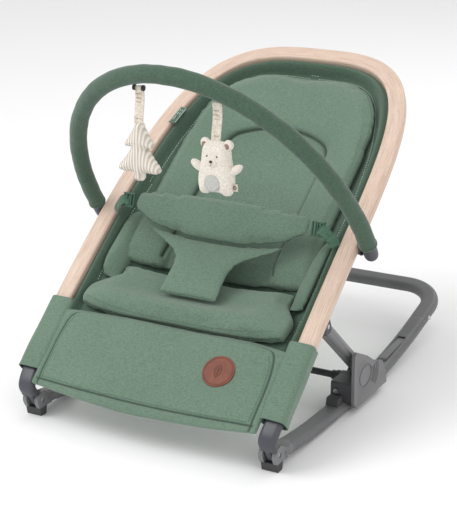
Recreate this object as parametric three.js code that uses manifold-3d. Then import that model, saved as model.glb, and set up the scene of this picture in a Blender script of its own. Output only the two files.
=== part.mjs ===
// Baby bouncer seat: a bent plywood seat hoop with a padded fabric seat, on a rocking tube base.
// Millimetres, +Z up. The feet point to -Y, the head to +Y, and the seat is symmetric about X = 0.
// A point on the seat is given by its distance along the rails, its place across, and its depth.
import * as THREE from 'three';
import { mergeVertices } from 'three/addons/utils/BufferGeometryUtils.js';
import Module from 'manifold-3d';

// ---------------------------------------------------------------- driving dimensions
const GAP = 0.4;
const DEG = Math.PI / 180;
const SIDES = { left: -1, right: 1 };

// seat rails: a gentle arc in side view, from the sleeves up to the head
const RAIL_START = { y: 90, z: 157.5 };
const RAIL_ANGLE = 39.5 * DEG;
const RAIL_BEND = 3300;
const HOOP_HALF_WIDTH = 224.5;
const HOOP_WIDTH = 28;
const HOOP_THICKNESS = 15;
const HOOP_STRAIGHT = 30;
const HOOP_ARCH = 562;
const ARCH_ALONG = 4.6;
const ARCH_ACROSS = 3.2;
const HOOP_END = -20;

// base: two rocker rails of one arc radius with a flat between, and a rear tube
const RAIL_X = 203;
const ROCKER_RADIUS = 1120;
const ROCKER_FLAT = { from: 190, to: 280 };
const TUBE = { width: 30, height: 19, wall: 2 };
const RAIL_FRONT = 46;
const RAIL_REAR = 553;
const CROSSBAR_Y = 655;
const CORNER_RADIUS = 60;

// pivots, as [y, z]
const SEAT_HINGE = [2, 26];
const LEG_TOP = [150, 170];
const LEG_FOOT = [284, 58];
const CROSS_ROD = [270, 42];
const BAR_HINGE = [249.4, 261.9];
const KICKSTAND_HINGE = [404, 23.5];

const LEG_X = 208;
const BAR_X = 239;
const BAR_HEIGHT = 341;
const BAR_LEAN = 125.8 * DEG;
const BAR_DIAMETER = 27;
const BAR_CAP = 12;
const BAR_POWER = 2;
const CLIP_ALONG = 190;

// ---------------------------------------------------------------- materials
const finish = (color, roughness, metalness) =>
  new THREE.MeshStandardMaterial({ color, roughness, metalness });
const WOOD = finish(0xd9bfa9, 0.6, 0);
const FABRIC = finish(0x6b8a76, 0.95, 0);
const DARK_FABRIC = finish(0x4c6e5a, 0.95, 0);
const TUBE_GREY = finish(0x68686b, 0.5, 0.2);
const LEG_GREY = finish(0x5e5e6a, 0.45, 0.3);
const DARK_PLASTIC = finish(0x37373a, 0.55, 0);
const RUBBER = finish(0x3d3d3f, 0.9, 0);
const STEEL = finish(0xb0b2b5, 0.3, 1);
const LEATHER = finish(0x93503c, 0.7, 0);
const PLUSH = finish(0xe9e1d3, 1, 0);

// ---------------------------------------------------------------- solids
const wasm = await Module();
wasm.setup();

function bare(geometry) {
  geometry.deleteAttribute('normal');
  geometry.deleteAttribute('uv');
  return mergeVertices(geometry, 1e-4);
}

function toManifold(geometry) {
  const merged = bare(geometry.clone());
  const triVerts = new Uint32Array(merged.index.array);
  const vertProperties = new Float32Array(merged.attributes.position.array);
  return new wasm.Manifold(new wasm.Mesh({ numProp: 3, vertProperties, triVerts }));
}

function fromManifold(manifold) {
  const mesh = manifold.getMesh();
  const geometry = new THREE.BufferGeometry();
  geometry.setAttribute('position', new THREE.BufferAttribute(mesh.vertProperties, 3));
  geometry.setIndex(new THREE.BufferAttribute(mesh.triVerts, 1));
  return geometry;
}

function join(first, ...rest) {
  const total = rest.reduce((sum, geometry) => sum.add(toManifold(geometry)), toManifold(first));
  return fromManifold(total);
}

function cut(body, ...tools) {
  const total = tools.reduce((rest, tool) => rest.subtract(toManifold(tool)), toManifold(body));
  return fromManifold(total);
}

function roundedRect(width, height, radius, wall = 0) {
  const outline = (Type, w, h, r) => {
    const shape = new Type();
    shape.moveTo(w / 2 - r, -h / 2);
    shape.absarc(w / 2 - r, -h / 2 + r, r, -Math.PI / 2, 0);
    shape.absarc(w / 2 - r, h / 2 - r, r, 0, Math.PI / 2);
    shape.absarc(-w / 2 + r, h / 2 - r, r, Math.PI / 2, Math.PI);
    shape.absarc(-w / 2 + r, -h / 2 + r, r, Math.PI, 1.5 * Math.PI);
    return shape;
  };
  const shape = outline(THREE.Shape, width, height, radius);
  if (wall > 0) shape.holes.push(outline(THREE.Path, width - 2 * wall, height - 2 * wall, radius - wall));
  return shape;
}

function ring(outer, inner = 0) {
  const shape = new THREE.Shape().absarc(0, 0, outer, 0, 2 * Math.PI);
  if (inner > 0) shape.holes.push(new THREE.Path().absarc(0, 0, inner, 0, 2 * Math.PI));
  return shape;
}

// A section swept along a path. Its own x axis stays as close as it can to the direction sideAt gives.
function sweep(path, shape, steps, sideAt, curveSegments = 1) {
  path.computeFrenetFrames = (count) => {
    const frames = { tangents: [], normals: [], binormals: [] };
    for (let i = 0; i <= count; i += 1) {
      const tangent = path.getTangentAt(i / count);
      const normal = sideAt(path.getPointAt(i / count)).clone();
      normal.addScaledVector(tangent, -normal.dot(tangent)).normalize();
      frames.tangents.push(tangent);
      frames.normals.push(normal);
      frames.binormals.push(new THREE.Vector3().crossVectors(tangent, normal));
    }
    return frames;
  };
  return new THREE.ExtrudeGeometry(shape, { steps, extrudePath: path, curveSegments, bevelEnabled: false });
}

// A side-view outline, drawn in y and z, given a thickness from x0 to x1.
function plate(shape, x0, x1, curveSegments = 5) {
  const geometry = new THREE.ExtrudeGeometry(shape, { depth: x1 - x0, curveSegments, bevelEnabled: false });
  const axes = [new THREE.Vector3(0, 1, 0), new THREE.Vector3(0, 0, 1), new THREE.Vector3(1, 0, 0)];
  geometry.applyMatrix4(new THREE.Matrix4().makeBasis(...axes).setPosition(x0, 0, 0));
  return geometry;
}

// The same plate on either side: inner and outer are distances from the middle of the seat.
const sidePlate = (side, shape, inner, outer, segments) =>
  side > 0 ? plate(shape, inner, outer, segments) : plate(shape, -outer, -inner, segments);

const polygon = (points) => new THREE.Shape(points.map(([y, z]) => new THREE.Vector2(y, z)));

function disc([y, z], radius) {
  return new THREE.Shape().absarc(y, z, radius, 0, 2 * Math.PI);
}

const block = (y0, y1, z0, z1) => polygon([[y0, z0], [y1, z0], [y1, z1], [y0, z1]]);

// A soft form: a box whose corners run from -1 to 1, moved point by point to where place() says.
function formed(divisions, place) {
  const geometry = bare(new THREE.BoxGeometry(2, 2, 2, ...divisions));
  const position = geometry.attributes.position;
  for (let i = 0; i < position.count; i += 1) {
    const point = place(position.getX(i), position.getY(i), position.getZ(i));
    position.setXYZ(i, point.x, point.y, point.z);
  }
  return geometry;
}

const mix = (from, to, amount) => from + (to - from) * amount;
const smooth = (value) => THREE.MathUtils.smoothstep(value, 0, 1);

// ---------------------------------------------------------------- seat surface
const railAngle = (along) => RAIL_ANGLE - along / RAIL_BEND;

function seatPoint(along, x, depth = 0) {
  const angle = railAngle(along);
  const y = RAIL_START.y + RAIL_BEND * (Math.sin(RAIL_ANGLE) - Math.sin(angle)) + depth * Math.sin(angle);
  const z = RAIL_START.z + RAIL_BEND * (Math.cos(angle) - Math.cos(RAIL_ANGLE)) - depth * Math.cos(angle);
  return new THREE.Vector3(x, y, z);
}

// Direction square to the seat surface, for a point on or near it.
function seatNormal(point) {
  const angle = Math.asin(Math.sin(RAIL_ANGLE) - (point.y - RAIL_START.y) / RAIL_BEND);
  return new THREE.Vector3(0, -Math.sin(angle), Math.cos(angle));
}

// Half of the clear width inside the hoop, at a distance along the rails.
function insideHalfWidth(along, gap = 2) {
  const half = HOOP_HALF_WIDTH - HOOP_WIDTH - gap;
  const arch = HOOP_ARCH - HOOP_WIDTH - gap;
  const rise = Math.max(0, along - HOOP_STRAIGHT) / arch;
  return half * (1 - rise ** ARCH_ALONG) ** (1 / ARCH_ACROSS);
}

class HoopCurve extends THREE.Curve {
  getPoint(t, target = new THREE.Vector3()) {
    const half = HOOP_HALF_WIDTH - HOOP_WIDTH / 2;
    const arch = HOOP_ARCH - HOOP_WIDTH / 2;
    const side = t < 0.5 ? -1 : 1;
    const climb = 1 - Math.abs(2 * t - 1);
    const straight = 0.04;
    if (climb <= straight) {
      const along = mix(HOOP_END, HOOP_STRAIGHT, climb / straight);
      return target.copy(seatPoint(along, side * half, HOOP_THICKNESS / 2));
    }
    const angle = ((climb - straight) / (1 - straight)) * (Math.PI / 2);
    const along = HOOP_STRAIGHT + arch * Math.sin(angle) ** (2 / ARCH_ALONG);
    const x = side * half * Math.max(0, Math.cos(angle)) ** (2 / ARCH_ACROSS);
    return target.copy(seatPoint(along, x, HOOP_THICKNESS / 2));
  }
}

function hoop() {
  const path = new HoopCurve();
  path.arcLengthDivisions = 800;
  return sweep(path, roundedRect(HOOP_THICKNESS, HOOP_WIDTH, 4), 54, seatNormal);
}

// ---------------------------------------------------------------- base
function rockerHeight(y) {
  const away = Math.max(0, ROCKER_FLAT.from - y, y - ROCKER_FLAT.to);
  return away ** 2 / (2 * ROCKER_RADIUS);
}

class RockerCurve extends THREE.Curve {
  constructor(x, from, to) {
    super();
    Object.assign(this, { x, from, to });
  }

  getPoint(t, target = new THREE.Vector3()) {
    const y = mix(this.from, this.to, t);
    return target.set(this.x, y, rockerHeight(y) + TUBE.height / 2);
  }
}

const UP = new THREE.Vector3(0, 0, 1);
const ACROSS = new THREE.Vector3(1, 0, 0);
const tubeShape = (grow = 0, wall = TUBE.wall) =>
  roundedRect(TUBE.height + grow, TUBE.width + grow, TUBE.height / 2 - 0.5 + grow / 2, wall);

const SLOT = { from: 396, to: 484, half: 7 };

function rockerRail(side) {
  const path = new RockerCurve(side * RAIL_X, RAIL_FRONT, RAIL_REAR);
  const rail = sweep(path, tubeShape(), 16, () => UP);
  const inner = RAIL_X - SLOT.half;
  const outer = RAIL_X + SLOT.half;
  return cut(rail, sidePlate(side, block(SLOT.from, SLOT.to, -5, 60), inner, outer));
}

const REAR_SLOPE = (RAIL_REAR - ROCKER_FLAT.to) / ROCKER_RADIUS;
const rearHeight = (y) => rockerHeight(RAIL_REAR) + TUBE.height / 2 + REAR_SLOPE * (y - RAIL_REAR);

function rearTube() {
  const point = (x, y) => new THREE.Vector3(x, y, rearHeight(y));
  const bend = CROSSBAR_Y - CORNER_RADIUS;
  const reach = RAIL_X - CORNER_RADIUS;
  const path = new THREE.CurvePath();
  path.add(new THREE.LineCurve3(point(-RAIL_X, RAIL_REAR + GAP), point(-RAIL_X, bend)));
  path.add(cornerCurve(point, -1, bend, reach));
  path.add(new THREE.LineCurve3(point(-reach, CROSSBAR_Y), point(reach, CROSSBAR_Y)));
  path.add(cornerCurve(point, 1, bend, reach));
  path.add(new THREE.LineCurve3(point(RAIL_X, bend), point(RAIL_X, RAIL_REAR + GAP)));
  const normal = new THREE.Vector3(0, -REAR_SLOPE, 1).normalize();
  return sweep(path, tubeShape(), 34, () => normal);
}

// A quarter bend of the rear tube, running from the left rail in, or out to the right rail.
function cornerCurve(point, side, bend, reach) {
  const curve = new THREE.Curve();
  curve.getPoint = (t, target = new THREE.Vector3()) => {
    const turn = (side < 0 ? t : 1 - t) * (Math.PI / 2);
    const x = side * (reach + CORNER_RADIUS * Math.cos(turn));
    return target.copy(point(x, bend + CORNER_RADIUS * Math.sin(turn)));
  };
  return curve;
}

function jointPlug(side) {
  const path = new RockerCurve(side * RAIL_X, RAIL_REAR - 32, RAIL_REAR + 26);
  return sweep(path, tubeShape(-2 * TUBE.wall - 1, 0), 3, () => UP);
}

const FOOT_EYE = { half: 6.5, radius: 9 };

function footHousing(side) {
  const [y, z] = SEAT_HINGE;
  const cheeks = new THREE.Shape();
  cheeks.moveTo(-6, 13.5);
  cheeks.lineTo(26, 13.5);
  cheeks.lineTo(26, 28);
  cheeks.lineTo(y + 9, z + 10);
  cheeks.absarc(y, z, 13, 45 * DEG, 200 * DEG);
  const body = sidePlate(side, cheeks, RAIL_X - 14, RAIL_X + 14, 8);
  const stub = sweep(new RockerCurve(side * RAIL_X, 18, RAIL_FRONT - GAP), tubeShape(0, 0), 3, () => UP);
  const forkHalf = FOOT_EYE.half + 1;
  const fork = sidePlate(side, disc(SEAT_HINGE, 16), RAIL_X - forkHalf, RAIL_X + forkHalf, 8);
  const bore = sidePlate(side, disc(SEAT_HINGE, 4), RAIL_X - 20, RAIL_X + 20, 6);
  const under = sidePlate(side, block(-20, 17, -1, 13.5), RAIL_X - 20, RAIL_X + 20);
  return cut(join(body, stub), fork, bore, under);
}

function footPad(side) {
  const outline = polygon([[-2, 0], [11, 0], [14, 13.1], [-5, 13.1]]);
  return sidePlate(side, outline, RAIL_X - 13, RAIL_X + 13);
}

const hingePin = (side, centre, radius, inner, outer) =>
  sidePlate(side, disc(centre, radius - GAP), inner, outer, 6);

function hubCover(side) {
  const outline = new THREE.Shape();
  outline.moveTo(226, 20);
  outline.lineTo(224, 94);
  outline.absarc(232, 94, 8, Math.PI, 70 * DEG, true);
  outline.lineTo(272, 84);
  outline.lineTo(300, 66);
  outline.lineTo(332, 55);
  outline.lineTo(352, 24);
  outline.lineTo(352, 11);
  outline.lineTo(236, 9);
  const face = sidePlate(side, outline, 225.8, 231);
  const flange = sidePlate(side, block(240, 345, 8, 19.2), RAIL_X + 15 + GAP, 226);
  const oval = new THREE.Shape().absellipse(266, 53, 23, 18, 0, 2 * Math.PI);
  oval.holes.push(new THREE.Path().absellipse(266, 53, 20.5, 15.5, 0, 2 * Math.PI));
  return cut(join(face, flange), sidePlate(side, oval, 230.3, 232, 12));
}

function hubBox(side) {
  const outline = new THREE.Shape();
  outline.moveTo(228, 19.6);
  outline.lineTo(300, 19.6);
  outline.lineTo(300, 44);
  outline.lineTo(296, 50);
  outline.absarc(LEG_FOOT[0], LEG_FOOT[1], 13, -35 * DEG, -150 * DEG, true);
  outline.lineTo(262, 50);
  outline.lineTo(230, 50);
  outline.lineTo(228, 47);
  return sidePlate(side, outline, 190, 225.3, 8);
}

const hubScrew = (side) => {
  const head = new THREE.CylinderGeometry(4.5, 4.5, 3, 16).translate(side * 200, 0, 0);
  return head.translate(0, 228 - GAP - 1.5, 35);
};

function railStop(side) {
  const outline = polygon([[204, 19.5], [224, 19.5], [222, 31], [207, 31]]);
  return sidePlate(side, outline, 193, 212);
}

// One turned rod: slim between the hubs, stepped up twice at each end.
function crossRod() {
  const step = (side, inner, outer, radius) => sidePlate(side, disc(CROSS_ROD, radius), inner, outer, 7);
  const endsAt = (side) => [step(side, 174, 183, 7.5), step(side, 182, 190 - GAP, 9)];
  const ends = Object.values(SIDES).flatMap(endsAt);
  return join(plate(disc(CROSS_ROD, 5.5), -180, 180, 7), ...ends);
}

function kickstand(side) {
  const [y, z] = KICKSTAND_HINGE;
  const paddle = new THREE.Shape();
  const tip = [SLOT.to - 2, rockerHeight(SLOT.to - 2)];
  paddle.moveTo(y, z - 5.5);
  paddle.lineTo(tip[0], tip[1] + 6);
  paddle.lineTo(tip[0] - 1, tip[1] + 17);
  paddle.lineTo(tip[0] - 22, tip[1] + 15);
  paddle.lineTo(y, z + 5.5);
  paddle.absarc(y, z, 5.5, 90 * DEG, 270 * DEG);
  return sidePlate(side, paddle, RAIL_X - SLOT.half + 0.7, RAIL_X + SLOT.half - 0.7);
}

// ---------------------------------------------------------------- support legs
function supportLeg(side) {
  const [top, foot] = [LEG_TOP, LEG_FOOT].map(([y, z]) => new THREE.Vector3(side * LEG_X, y, z));
  const way = foot.clone().sub(top).normalize();
  const between = (from, to) => new THREE.LineCurve3(top.clone().addScaledVector(way, from),
    foot.clone().addScaledVector(way, -to));
  const tube = sweep(between(15, 15), ring(11), 1, () => ACROSS, 7);
  const ears = sweep(between(0, 0), roundedRect(16, 17, 3), 1, () => ACROSS);
  const pivotDisc = (centre, radius, half, segments) =>
    sidePlate(side, disc(centre, radius), LEG_X - half, LEG_X + half, segments);
  const ends = [LEG_TOP, LEG_FOOT].map((centre) => pivotDisc(centre, 9.5, 8, 7));
  const bores = [LEG_TOP, LEG_FOOT].map((centre) => pivotDisc(centre, 4, 20, 6));
  const hollow = sweep(between(26, 26), ring(8.6), 1, () => ACROSS, 6);
  const drain = foot.clone().addScaledVector(way, -34);
  const opening = sidePlate(side, disc([drain.y, drain.z], 2), LEG_X - 20, LEG_X, 4);
  return cut(join(tube, ears, ...ends), ...bores, hollow, opening);
}

function legBracket(side) {
  const [y, z] = LEG_TOP;
  const cheek = new THREE.Shape();
  const high = seatPoint(66, 0, HOOP_THICKNESS + GAP);
  const low = seatPoint(40, 0, HOOP_THICKNESS + GAP);
  cheek.moveTo(high.y, high.z);
  cheek.lineTo(low.y, low.z);
  cheek.absarc(y, z, 10, 175 * DEG, 350 * DEG);
  const body = sidePlate(side, cheek, LEG_X - 12, LEG_X + 12);
  const fork = sidePlate(side, disc(LEG_TOP, 12.5), LEG_X - 8.6, LEG_X + 8.6, 8);
  const swept = [[y, z + 9], [y + 60, z + 60], [y + 60, z - 60], [y - 20, z - 60], [y - 12, z]];
  const swing = sidePlate(side, polygon(swept), LEG_X - 8.6, LEG_X + 8.6);
  const bore = sidePlate(side, disc(LEG_TOP, 4), LEG_X - 20, LEG_X + 20, 6);
  return cut(body, fork, swing, bore);
}

// ---------------------------------------------------------------- seat structure
function legTube(side) {
  const inSleeve = [[HOOP_END - 1.5, 210], [-80, 208.5], [-118, 208]];
  const straight = inSleeve.map(([along, x]) => seatPoint(along, side * x, HOOP_THICKNESS / 2 - 1));
  const bend = [[205.5, -14, 54], [204.5, -9, 38]].map(([x, y, z]) => new THREE.Vector3(side * x, y, z));
  const points = [...straight, ...bend];
  const path = new THREE.CatmullRomCurve3(points, false, 'centripetal');
  const tube = sweep(path, roundedRect(28, 14, 6), 10, () => ACROSS);
  const [y, z] = SEAT_HINGE;
  const eye = new THREE.Shape();
  eye.moveTo(-14, 44);
  eye.absarc(y, z, FOOT_EYE.radius, 170 * DEG, 400 * DEG);
  eye.lineTo(-2, 46);
  const tongue = sidePlate(side, eye, RAIL_X - FOOT_EYE.half, RAIL_X + FOOT_EYE.half, 8);
  const bore = sidePlate(side, disc(SEAT_HINGE, 4), RAIL_X - 20, RAIL_X + 20, 6);
  const clear = sidePlate(side, disc(SEAT_HINGE, 14), RAIL_X - 30, RAIL_X - FOOT_EYE.half, 8);
  const clearOuter = sidePlate(side, disc(SEAT_HINGE, 14), RAIL_X + FOOT_EYE.half, RAIL_X + 30, 8);
  return cut(join(cut(tube, clear, clearOuter), tongue), bore);
}

function sleeve(side) {
  const x = side * 209.5;
  const path = new THREE.LineCurve3(seatPoint(-120, x, 7.5), seatPoint(2, x, 7.5));
  return sweep(path, roundedRect(24.5, 37, 7, 2), 1, seatNormal);
}

const PANEL = { half: 186, from: -142, to: -3 };

function frontPanel() {
  return formed([8, 6, 2], (a, b, c) => {
    const along = mix(PANEL.from, PANEL.to, (b + 1) / 2) - 10 * (1 - a * a) * (b < 0 ? -b : 0);
    const crown = (1 - a ** 4) * (1 - b ** 4);
    const depth = c > 0 ? 6 - 14 * crown : 12 + 8 * crown;
    return seatPoint(along, a * PANEL.half, depth);
  });
}

// Depth of the fabric sling below the rails, across the seat and along it.
const SLING = { from: 5, to: 560, edge: 10, seat: 64, back: 56, head: 26 };

function slingDepth(along, x) {
  const dip = smooth((along + 10) / 70);
  const headward = smooth((along - 340) / 220);
  const floor = mix(mix(SLING.seat, SLING.back, smooth((along - 90) / 60)), SLING.head, headward);
  const middle = mix(SLING.edge + 4, floor, dip);
  const across = Math.min(1, Math.abs(x) / insideHalfWidth(along));
  return mix(middle, SLING.edge, across ** 3);
}

function seatShell() {
  const thickness = 3;
  return formed([14, 22, 1], (a, b, c) => {
    const along = mix(SLING.from, SLING.to, (b + 1) / 2);
    const x = a * insideHalfWidth(along);
    return seatPoint(along, x, slingDepth(along, x) + (c > 0 ? 0 : thickness));
  });
}

// A pad that lies in the sling: it fills it from the fabric up to its own thickness.
function slingPad(divisions, from, to, halfAt, thickAt) {
  const lift = 6;
  return formed(divisions, (a, b, c) => {
    const along = mix(from, to, (b + 1) / 2);
    const x = a * halfAt(along);
    const edge = 0.35 + 0.65 * (1 - a ** 6);
    const top = slingDepth(along, x) - lift;
    return seatPoint(along, x, c > 0 ? top - thickAt(along) * edge : top);
  });
}

const SEAT_PAD = { from: -2, to: 108, front: 172, rear: 150 };
const BACK_PAD = { from: 112, to: 536 };

function seatPad() {
  const half = (along) => mix(SEAT_PAD.front, SEAT_PAD.rear, smooth((along - 30) / 34));
  const thick = (along) => 24 + 20 * smooth((along - 2) / 24) * smooth((100 - along) / 45);
  return slingPad([12, 8, 1], SEAT_PAD.from, SEAT_PAD.to, half, thick);
}

function backCushion() {
  const half = (along) => Math.min(150, insideHalfWidth(along, 2) - 16);
  return slingPad([12, 16, 1], BACK_PAD.from, BACK_PAD.to, half, () => 21);
}

function bolster(side) {
  const [from, to] = [68, 205];
  return formed([2, 8, 2], (a, b, c) => {
    const along = mix(from, to, (b + 1) / 2);
    const taper = 1 - 0.7 * Math.abs(b) ** 3;
    const x = 167 + side * 12 * a * taper;
    const floor = slingDepth(along, 182) - 3;
    return seatPoint(along, side * x, c > 0 ? floor - 18 * taper : floor);
  });
}

// ---------------------------------------------------------------- belt
const BELT_ROOT = [118, 185];
const BELT = { half: 154, thick: 9, lowY: 205, lowZ: 245, highY: 237, highZ: 318 };

function beltWing() {
  return formed([12, 3, 1], (a, b, c) => {
    const amount = (b + 1) / 2;
    const low = [BELT.lowY + 6 * a ** 8, BELT.lowZ + 24 * a * a + 14 * a ** 8];
    const high = [BELT.highY - 2 * a * a, BELT.highZ - 12 * a * a - 6 * a ** 8];
    const slope = Math.atan2(high[1] - low[1], high[0] - low[0]);
    const push = ((c * BELT.thick) / 2) * (1 - 0.5 * Math.abs(b));
    const y = mix(low[0], high[0], amount) - push * Math.sin(slope);
    const z = mix(low[1], high[1], amount) + push * Math.cos(slope);
    return new THREE.Vector3(a * BELT.half, y, z);
  });
}

function crotchStrap() {
  const rise = Math.atan2(BELT.lowZ - BELT_ROOT[1], BELT.lowY - BELT_ROOT[0]);
  const length = Math.hypot(BELT.lowZ - BELT_ROOT[1], BELT.lowY - BELT_ROOT[0]) - 6;
  return formed([4, 4, 1], (a, b, c) => {
    const amount = (b + 1) / 2;
    const half = mix(50, 56, amount);
    const push = c * 4;
    const y = BELT_ROOT[0] + amount * length * Math.cos(rise) - push * Math.sin(rise);
    const z = BELT_ROOT[1] + amount * length * Math.sin(rise) + push * Math.cos(rise);
    return new THREE.Vector3(a * half, y, z);
  });
}

const BUCKLE = { y: 223, z: 291 };
const buckleShape = () => block(BUCKLE.y - 11, BUCKLE.y + 11, BUCKLE.z - 8, BUCKLE.z + 8);
const buckleTongue = (side) => sidePlate(side, buckleShape(), BELT.half + 1, BELT.half + 9);
const buckleSocket = (side) => sidePlate(side, buckleShape(), BELT.half + 9 + GAP, BELT.half + 22);

function webStrap(side) {
  return formed([4, 1, 1], (a, b, c) => {
    const amount = (a * side + 1) / 2;
    const x = side * mix(BELT.half + 22 + GAP, 192, amount);
    return new THREE.Vector3(x, BUCKLE.y + 9 * b, BUCKLE.z - 20 * amount + 1.2 * c);
  });
}

const PATCH = { along: -70, x: 103 };

function leatherPatch() {
  const geometry = new THREE.CylinderGeometry(25, 25, 1.5, 28);
  const centre = seatPoint(PATCH.along, PATCH.x, -6.5);
  geometry.rotateX(Math.PI / 2 + railAngle(PATCH.along));
  return geometry.translate(centre.x, centre.y, centre.z + 3);
}

// ---------------------------------------------------------------- toy bar and toys
function barPoint(x, rise) {
  const [y, z] = BAR_HINGE;
  return new THREE.Vector3(x, y + rise * Math.cos(BAR_LEAN), z + rise * Math.sin(BAR_LEAN));
}

class BarCurve extends THREE.Curve {
  getPoint(t, target = new THREE.Vector3()) {
    const power = 2 / BAR_POWER;
    const angle = t * Math.PI;
    const x = -Math.sign(Math.cos(angle)) * BAR_X * Math.abs(Math.cos(angle)) ** power;
    const share = Math.max(0, Math.sin(angle)) ** power;
    return target.copy(barPoint(x, BAR_CAP + (BAR_HEIGHT - BAR_CAP) * share));
  }
}

const BAR_NORMAL = new THREE.Vector3(0, -Math.sin(BAR_LEAN), Math.cos(BAR_LEAN));

function barSweep(shape) {
  const path = new BarCurve();
  path.arcLengthDivisions = 800;
  return sweep(path, shape, 36, () => BAR_NORMAL, 4);
}

const barSleeve = () => barSweep(ring(BAR_DIAMETER / 2, 10));
const barCore = () => barSweep(ring(9.5, 7.5));

function barCap(side) {
  const radius = 11;
  const profile = new THREE.Path();
  profile.moveTo(0, -radius - 6);
  profile.absarc(0, -6, radius, -Math.PI / 2, 0);
  profile.lineTo(radius, BAR_CAP - GAP);
  profile.lineTo(0, BAR_CAP - GAP);
  const cap = new THREE.LatheGeometry(profile.getPoints(4), 14);
  cap.rotateX(BAR_LEAN - Math.PI / 2);
  cap.translate(side * BAR_X, ...BAR_HINGE);
  const bore = sidePlate(side, disc(BAR_HINGE, 4 + GAP), 220, BAR_X, 6);
  return cut(cap, bore);
}

// A round boss beside the rail, with a pin for the bar's end and a lip hooked under the rail.
function barClip(side) {
  const boss = sidePlate(side, disc(BAR_HINGE, 10), HOOP_HALF_WIDTH + GAP, BAR_X - 11 - GAP, 8);
  const pin = sidePlate(side, disc(BAR_HINGE, 4), HOOP_HALF_WIDTH + 1, BAR_X - 4, 6);
  const [from, to] = [CLIP_ALONG - 9, CLIP_ALONG + 9];
  const corners = [[from, GAP], [to, GAP], [to, GAP + 2], [from, GAP + 2]];
  const points = corners.map(([along, under]) => seatPoint(along, 0, HOOP_THICKNESS + under));
  const lip = polygon(points.map((point) => [point.y, point.z]));
  return join(boss, pin, sidePlate(side, lip, 210, HOOP_HALF_WIDTH + 2));
}

const TOYS = {
  tree: { x: -37, drop: 49 },
  bear: { x: 83, drop: 49 },
};

// Room under the bar for a ribbon to swing, where the bar slopes.
const RIBBON_CLEARANCE = 6;

// Where a toy's ribbon leaves the underside of the bar.
function toyTop({ x }) {
  const share = (1 - (Math.abs(x) / BAR_X) ** BAR_POWER) ** (1 / BAR_POWER);
  const rise = BAR_CAP + (BAR_HEIGHT - BAR_CAP) * share;
  const centre = barPoint(x, rise);
  return centre.setZ(centre.z - BAR_DIAMETER / 2 - RIBBON_CLEARANCE);
}

function ribbon(toy) {
  const top = toyTop(toy);
  const strip = new THREE.BoxGeometry(15, 2.4, toy.drop - 1);
  return strip.translate(top.x, top.y, top.z - toy.drop / 2 + 0.5);
}

function toyBody(toy, outline, thickness) {
  const top = toyTop(toy);
  const options = { depth: thickness, curveSegments: 5, bevelEnabled: false };
  const geometry = new THREE.ExtrudeGeometry(outline, options);
  geometry.rotateX(Math.PI / 2);
  return geometry.translate(top.x, top.y + thickness / 2, top.z - toy.drop);
}

function treeOutline() {
  const half = [[4, 0], [12, -14], [24, -32], [12, -33], [34, -70], [6, -73], [6, -86]];
  const points = [...half, ...half.map(([x, z]) => [-x, z]).reverse()];
  return polygon(points.reverse());
}

function bearOutline() {
  const head = [[8, -1], [20, 2], [25, -4], [22, -14]];
  const body = [[26, -30], [40, -38], [38, -46], [27, -46], [28, -72], [18, -80], [4, -75]];
  const half = [...head, ...body];
  const points = [...half, ...half.map(([x, z]) => [-x, z]).reverse()];
  return polygon(points.reverse());
}

// ---------------------------------------------------------------- assembly
const group = new THREE.Group();

function add(name, geometry, material) {
  const mesh = new THREE.Mesh(geometry, material);
  mesh.name = name;
  group.add(mesh);
}

function addPair(name, build, material) {
  for (const [label, side] of Object.entries(SIDES)) add(`${name}_${label}`, build(side), material);
}

addPair('rocker_rail', rockerRail, TUBE_GREY);
add('rear_tube', rearTube(), TUBE_GREY);
addPair('joint_plug', jointPlug, DARK_PLASTIC);
addPair('foot_housing', footHousing, TUBE_GREY);
addPair('foot_pad', footPad, RUBBER);
addPair('seat_hinge_pin', (side) => hingePin(side, SEAT_HINGE, 4, RAIL_X - 13, RAIL_X + 13), STEEL);
addPair('hub_cover', hubCover, TUBE_GREY);
addPair('hub_box', hubBox, DARK_PLASTIC);
addPair('hub_screw', hubScrew, STEEL);
addPair('rail_stop', railStop, RUBBER);
add('cross_rod', crossRod(), DARK_PLASTIC);
addPair('kickstand', kickstand, TUBE_GREY);
addPair('support_leg', supportLeg, TUBE_GREY);
addPair('leg_foot_pin', (side) => hingePin(side, LEG_FOOT, 4, LEG_X - 12, LEG_X + 12), STEEL);
addPair('leg_bracket', legBracket, DARK_PLASTIC);
addPair('leg_top_pin', (side) => hingePin(side, LEG_TOP, 4, LEG_X - 12, LEG_X + 12), STEEL);

add('wood_hoop', hoop(), WOOD);
addPair('leg_tube', legTube, LEG_GREY);
addPair('fabric_sleeve', sleeve, FABRIC);
add('front_panel', frontPanel(), FABRIC);
add('seat_shell', seatShell(), FABRIC);
add('seat_pad', seatPad(), FABRIC);
add('back_cushion', backCushion(), FABRIC);
addPair('side_bolster', bolster, FABRIC);
add('belt_wing', beltWing(), FABRIC);
add('crotch_strap', crotchStrap(), FABRIC);
addPair('buckle_tongue', buckleTongue, DARK_FABRIC);
addPair('buckle_socket', buckleSocket, DARK_FABRIC);
addPair('web_strap', webStrap, DARK_FABRIC);
add('leather_patch', leatherPatch(), LEATHER);

addPair('bar_clip', barClip, DARK_PLASTIC);
add('bar_sleeve', barSleeve(), FABRIC);
add('bar_core', barCore(), DARK_PLASTIC);
addPair('bar_cap', barCap, LEG_GREY);
add('tree_ribbon', ribbon(TOYS.tree), PLUSH);
add('tree_toy', toyBody(TOYS.tree, treeOutline(), 26), PLUSH);
add('bear_ribbon', ribbon(TOYS.bear), PLUSH);
add('bear_toy', toyBody(TOYS.bear, bearOutline(), 30), PLUSH);

// The origin is the middle of the footprint, on the floor.
const bounds = new THREE.Box3().setFromObject(group);
group.position.y = -(bounds.min.y + bounds.max.y) / 2;

export default group;
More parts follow.
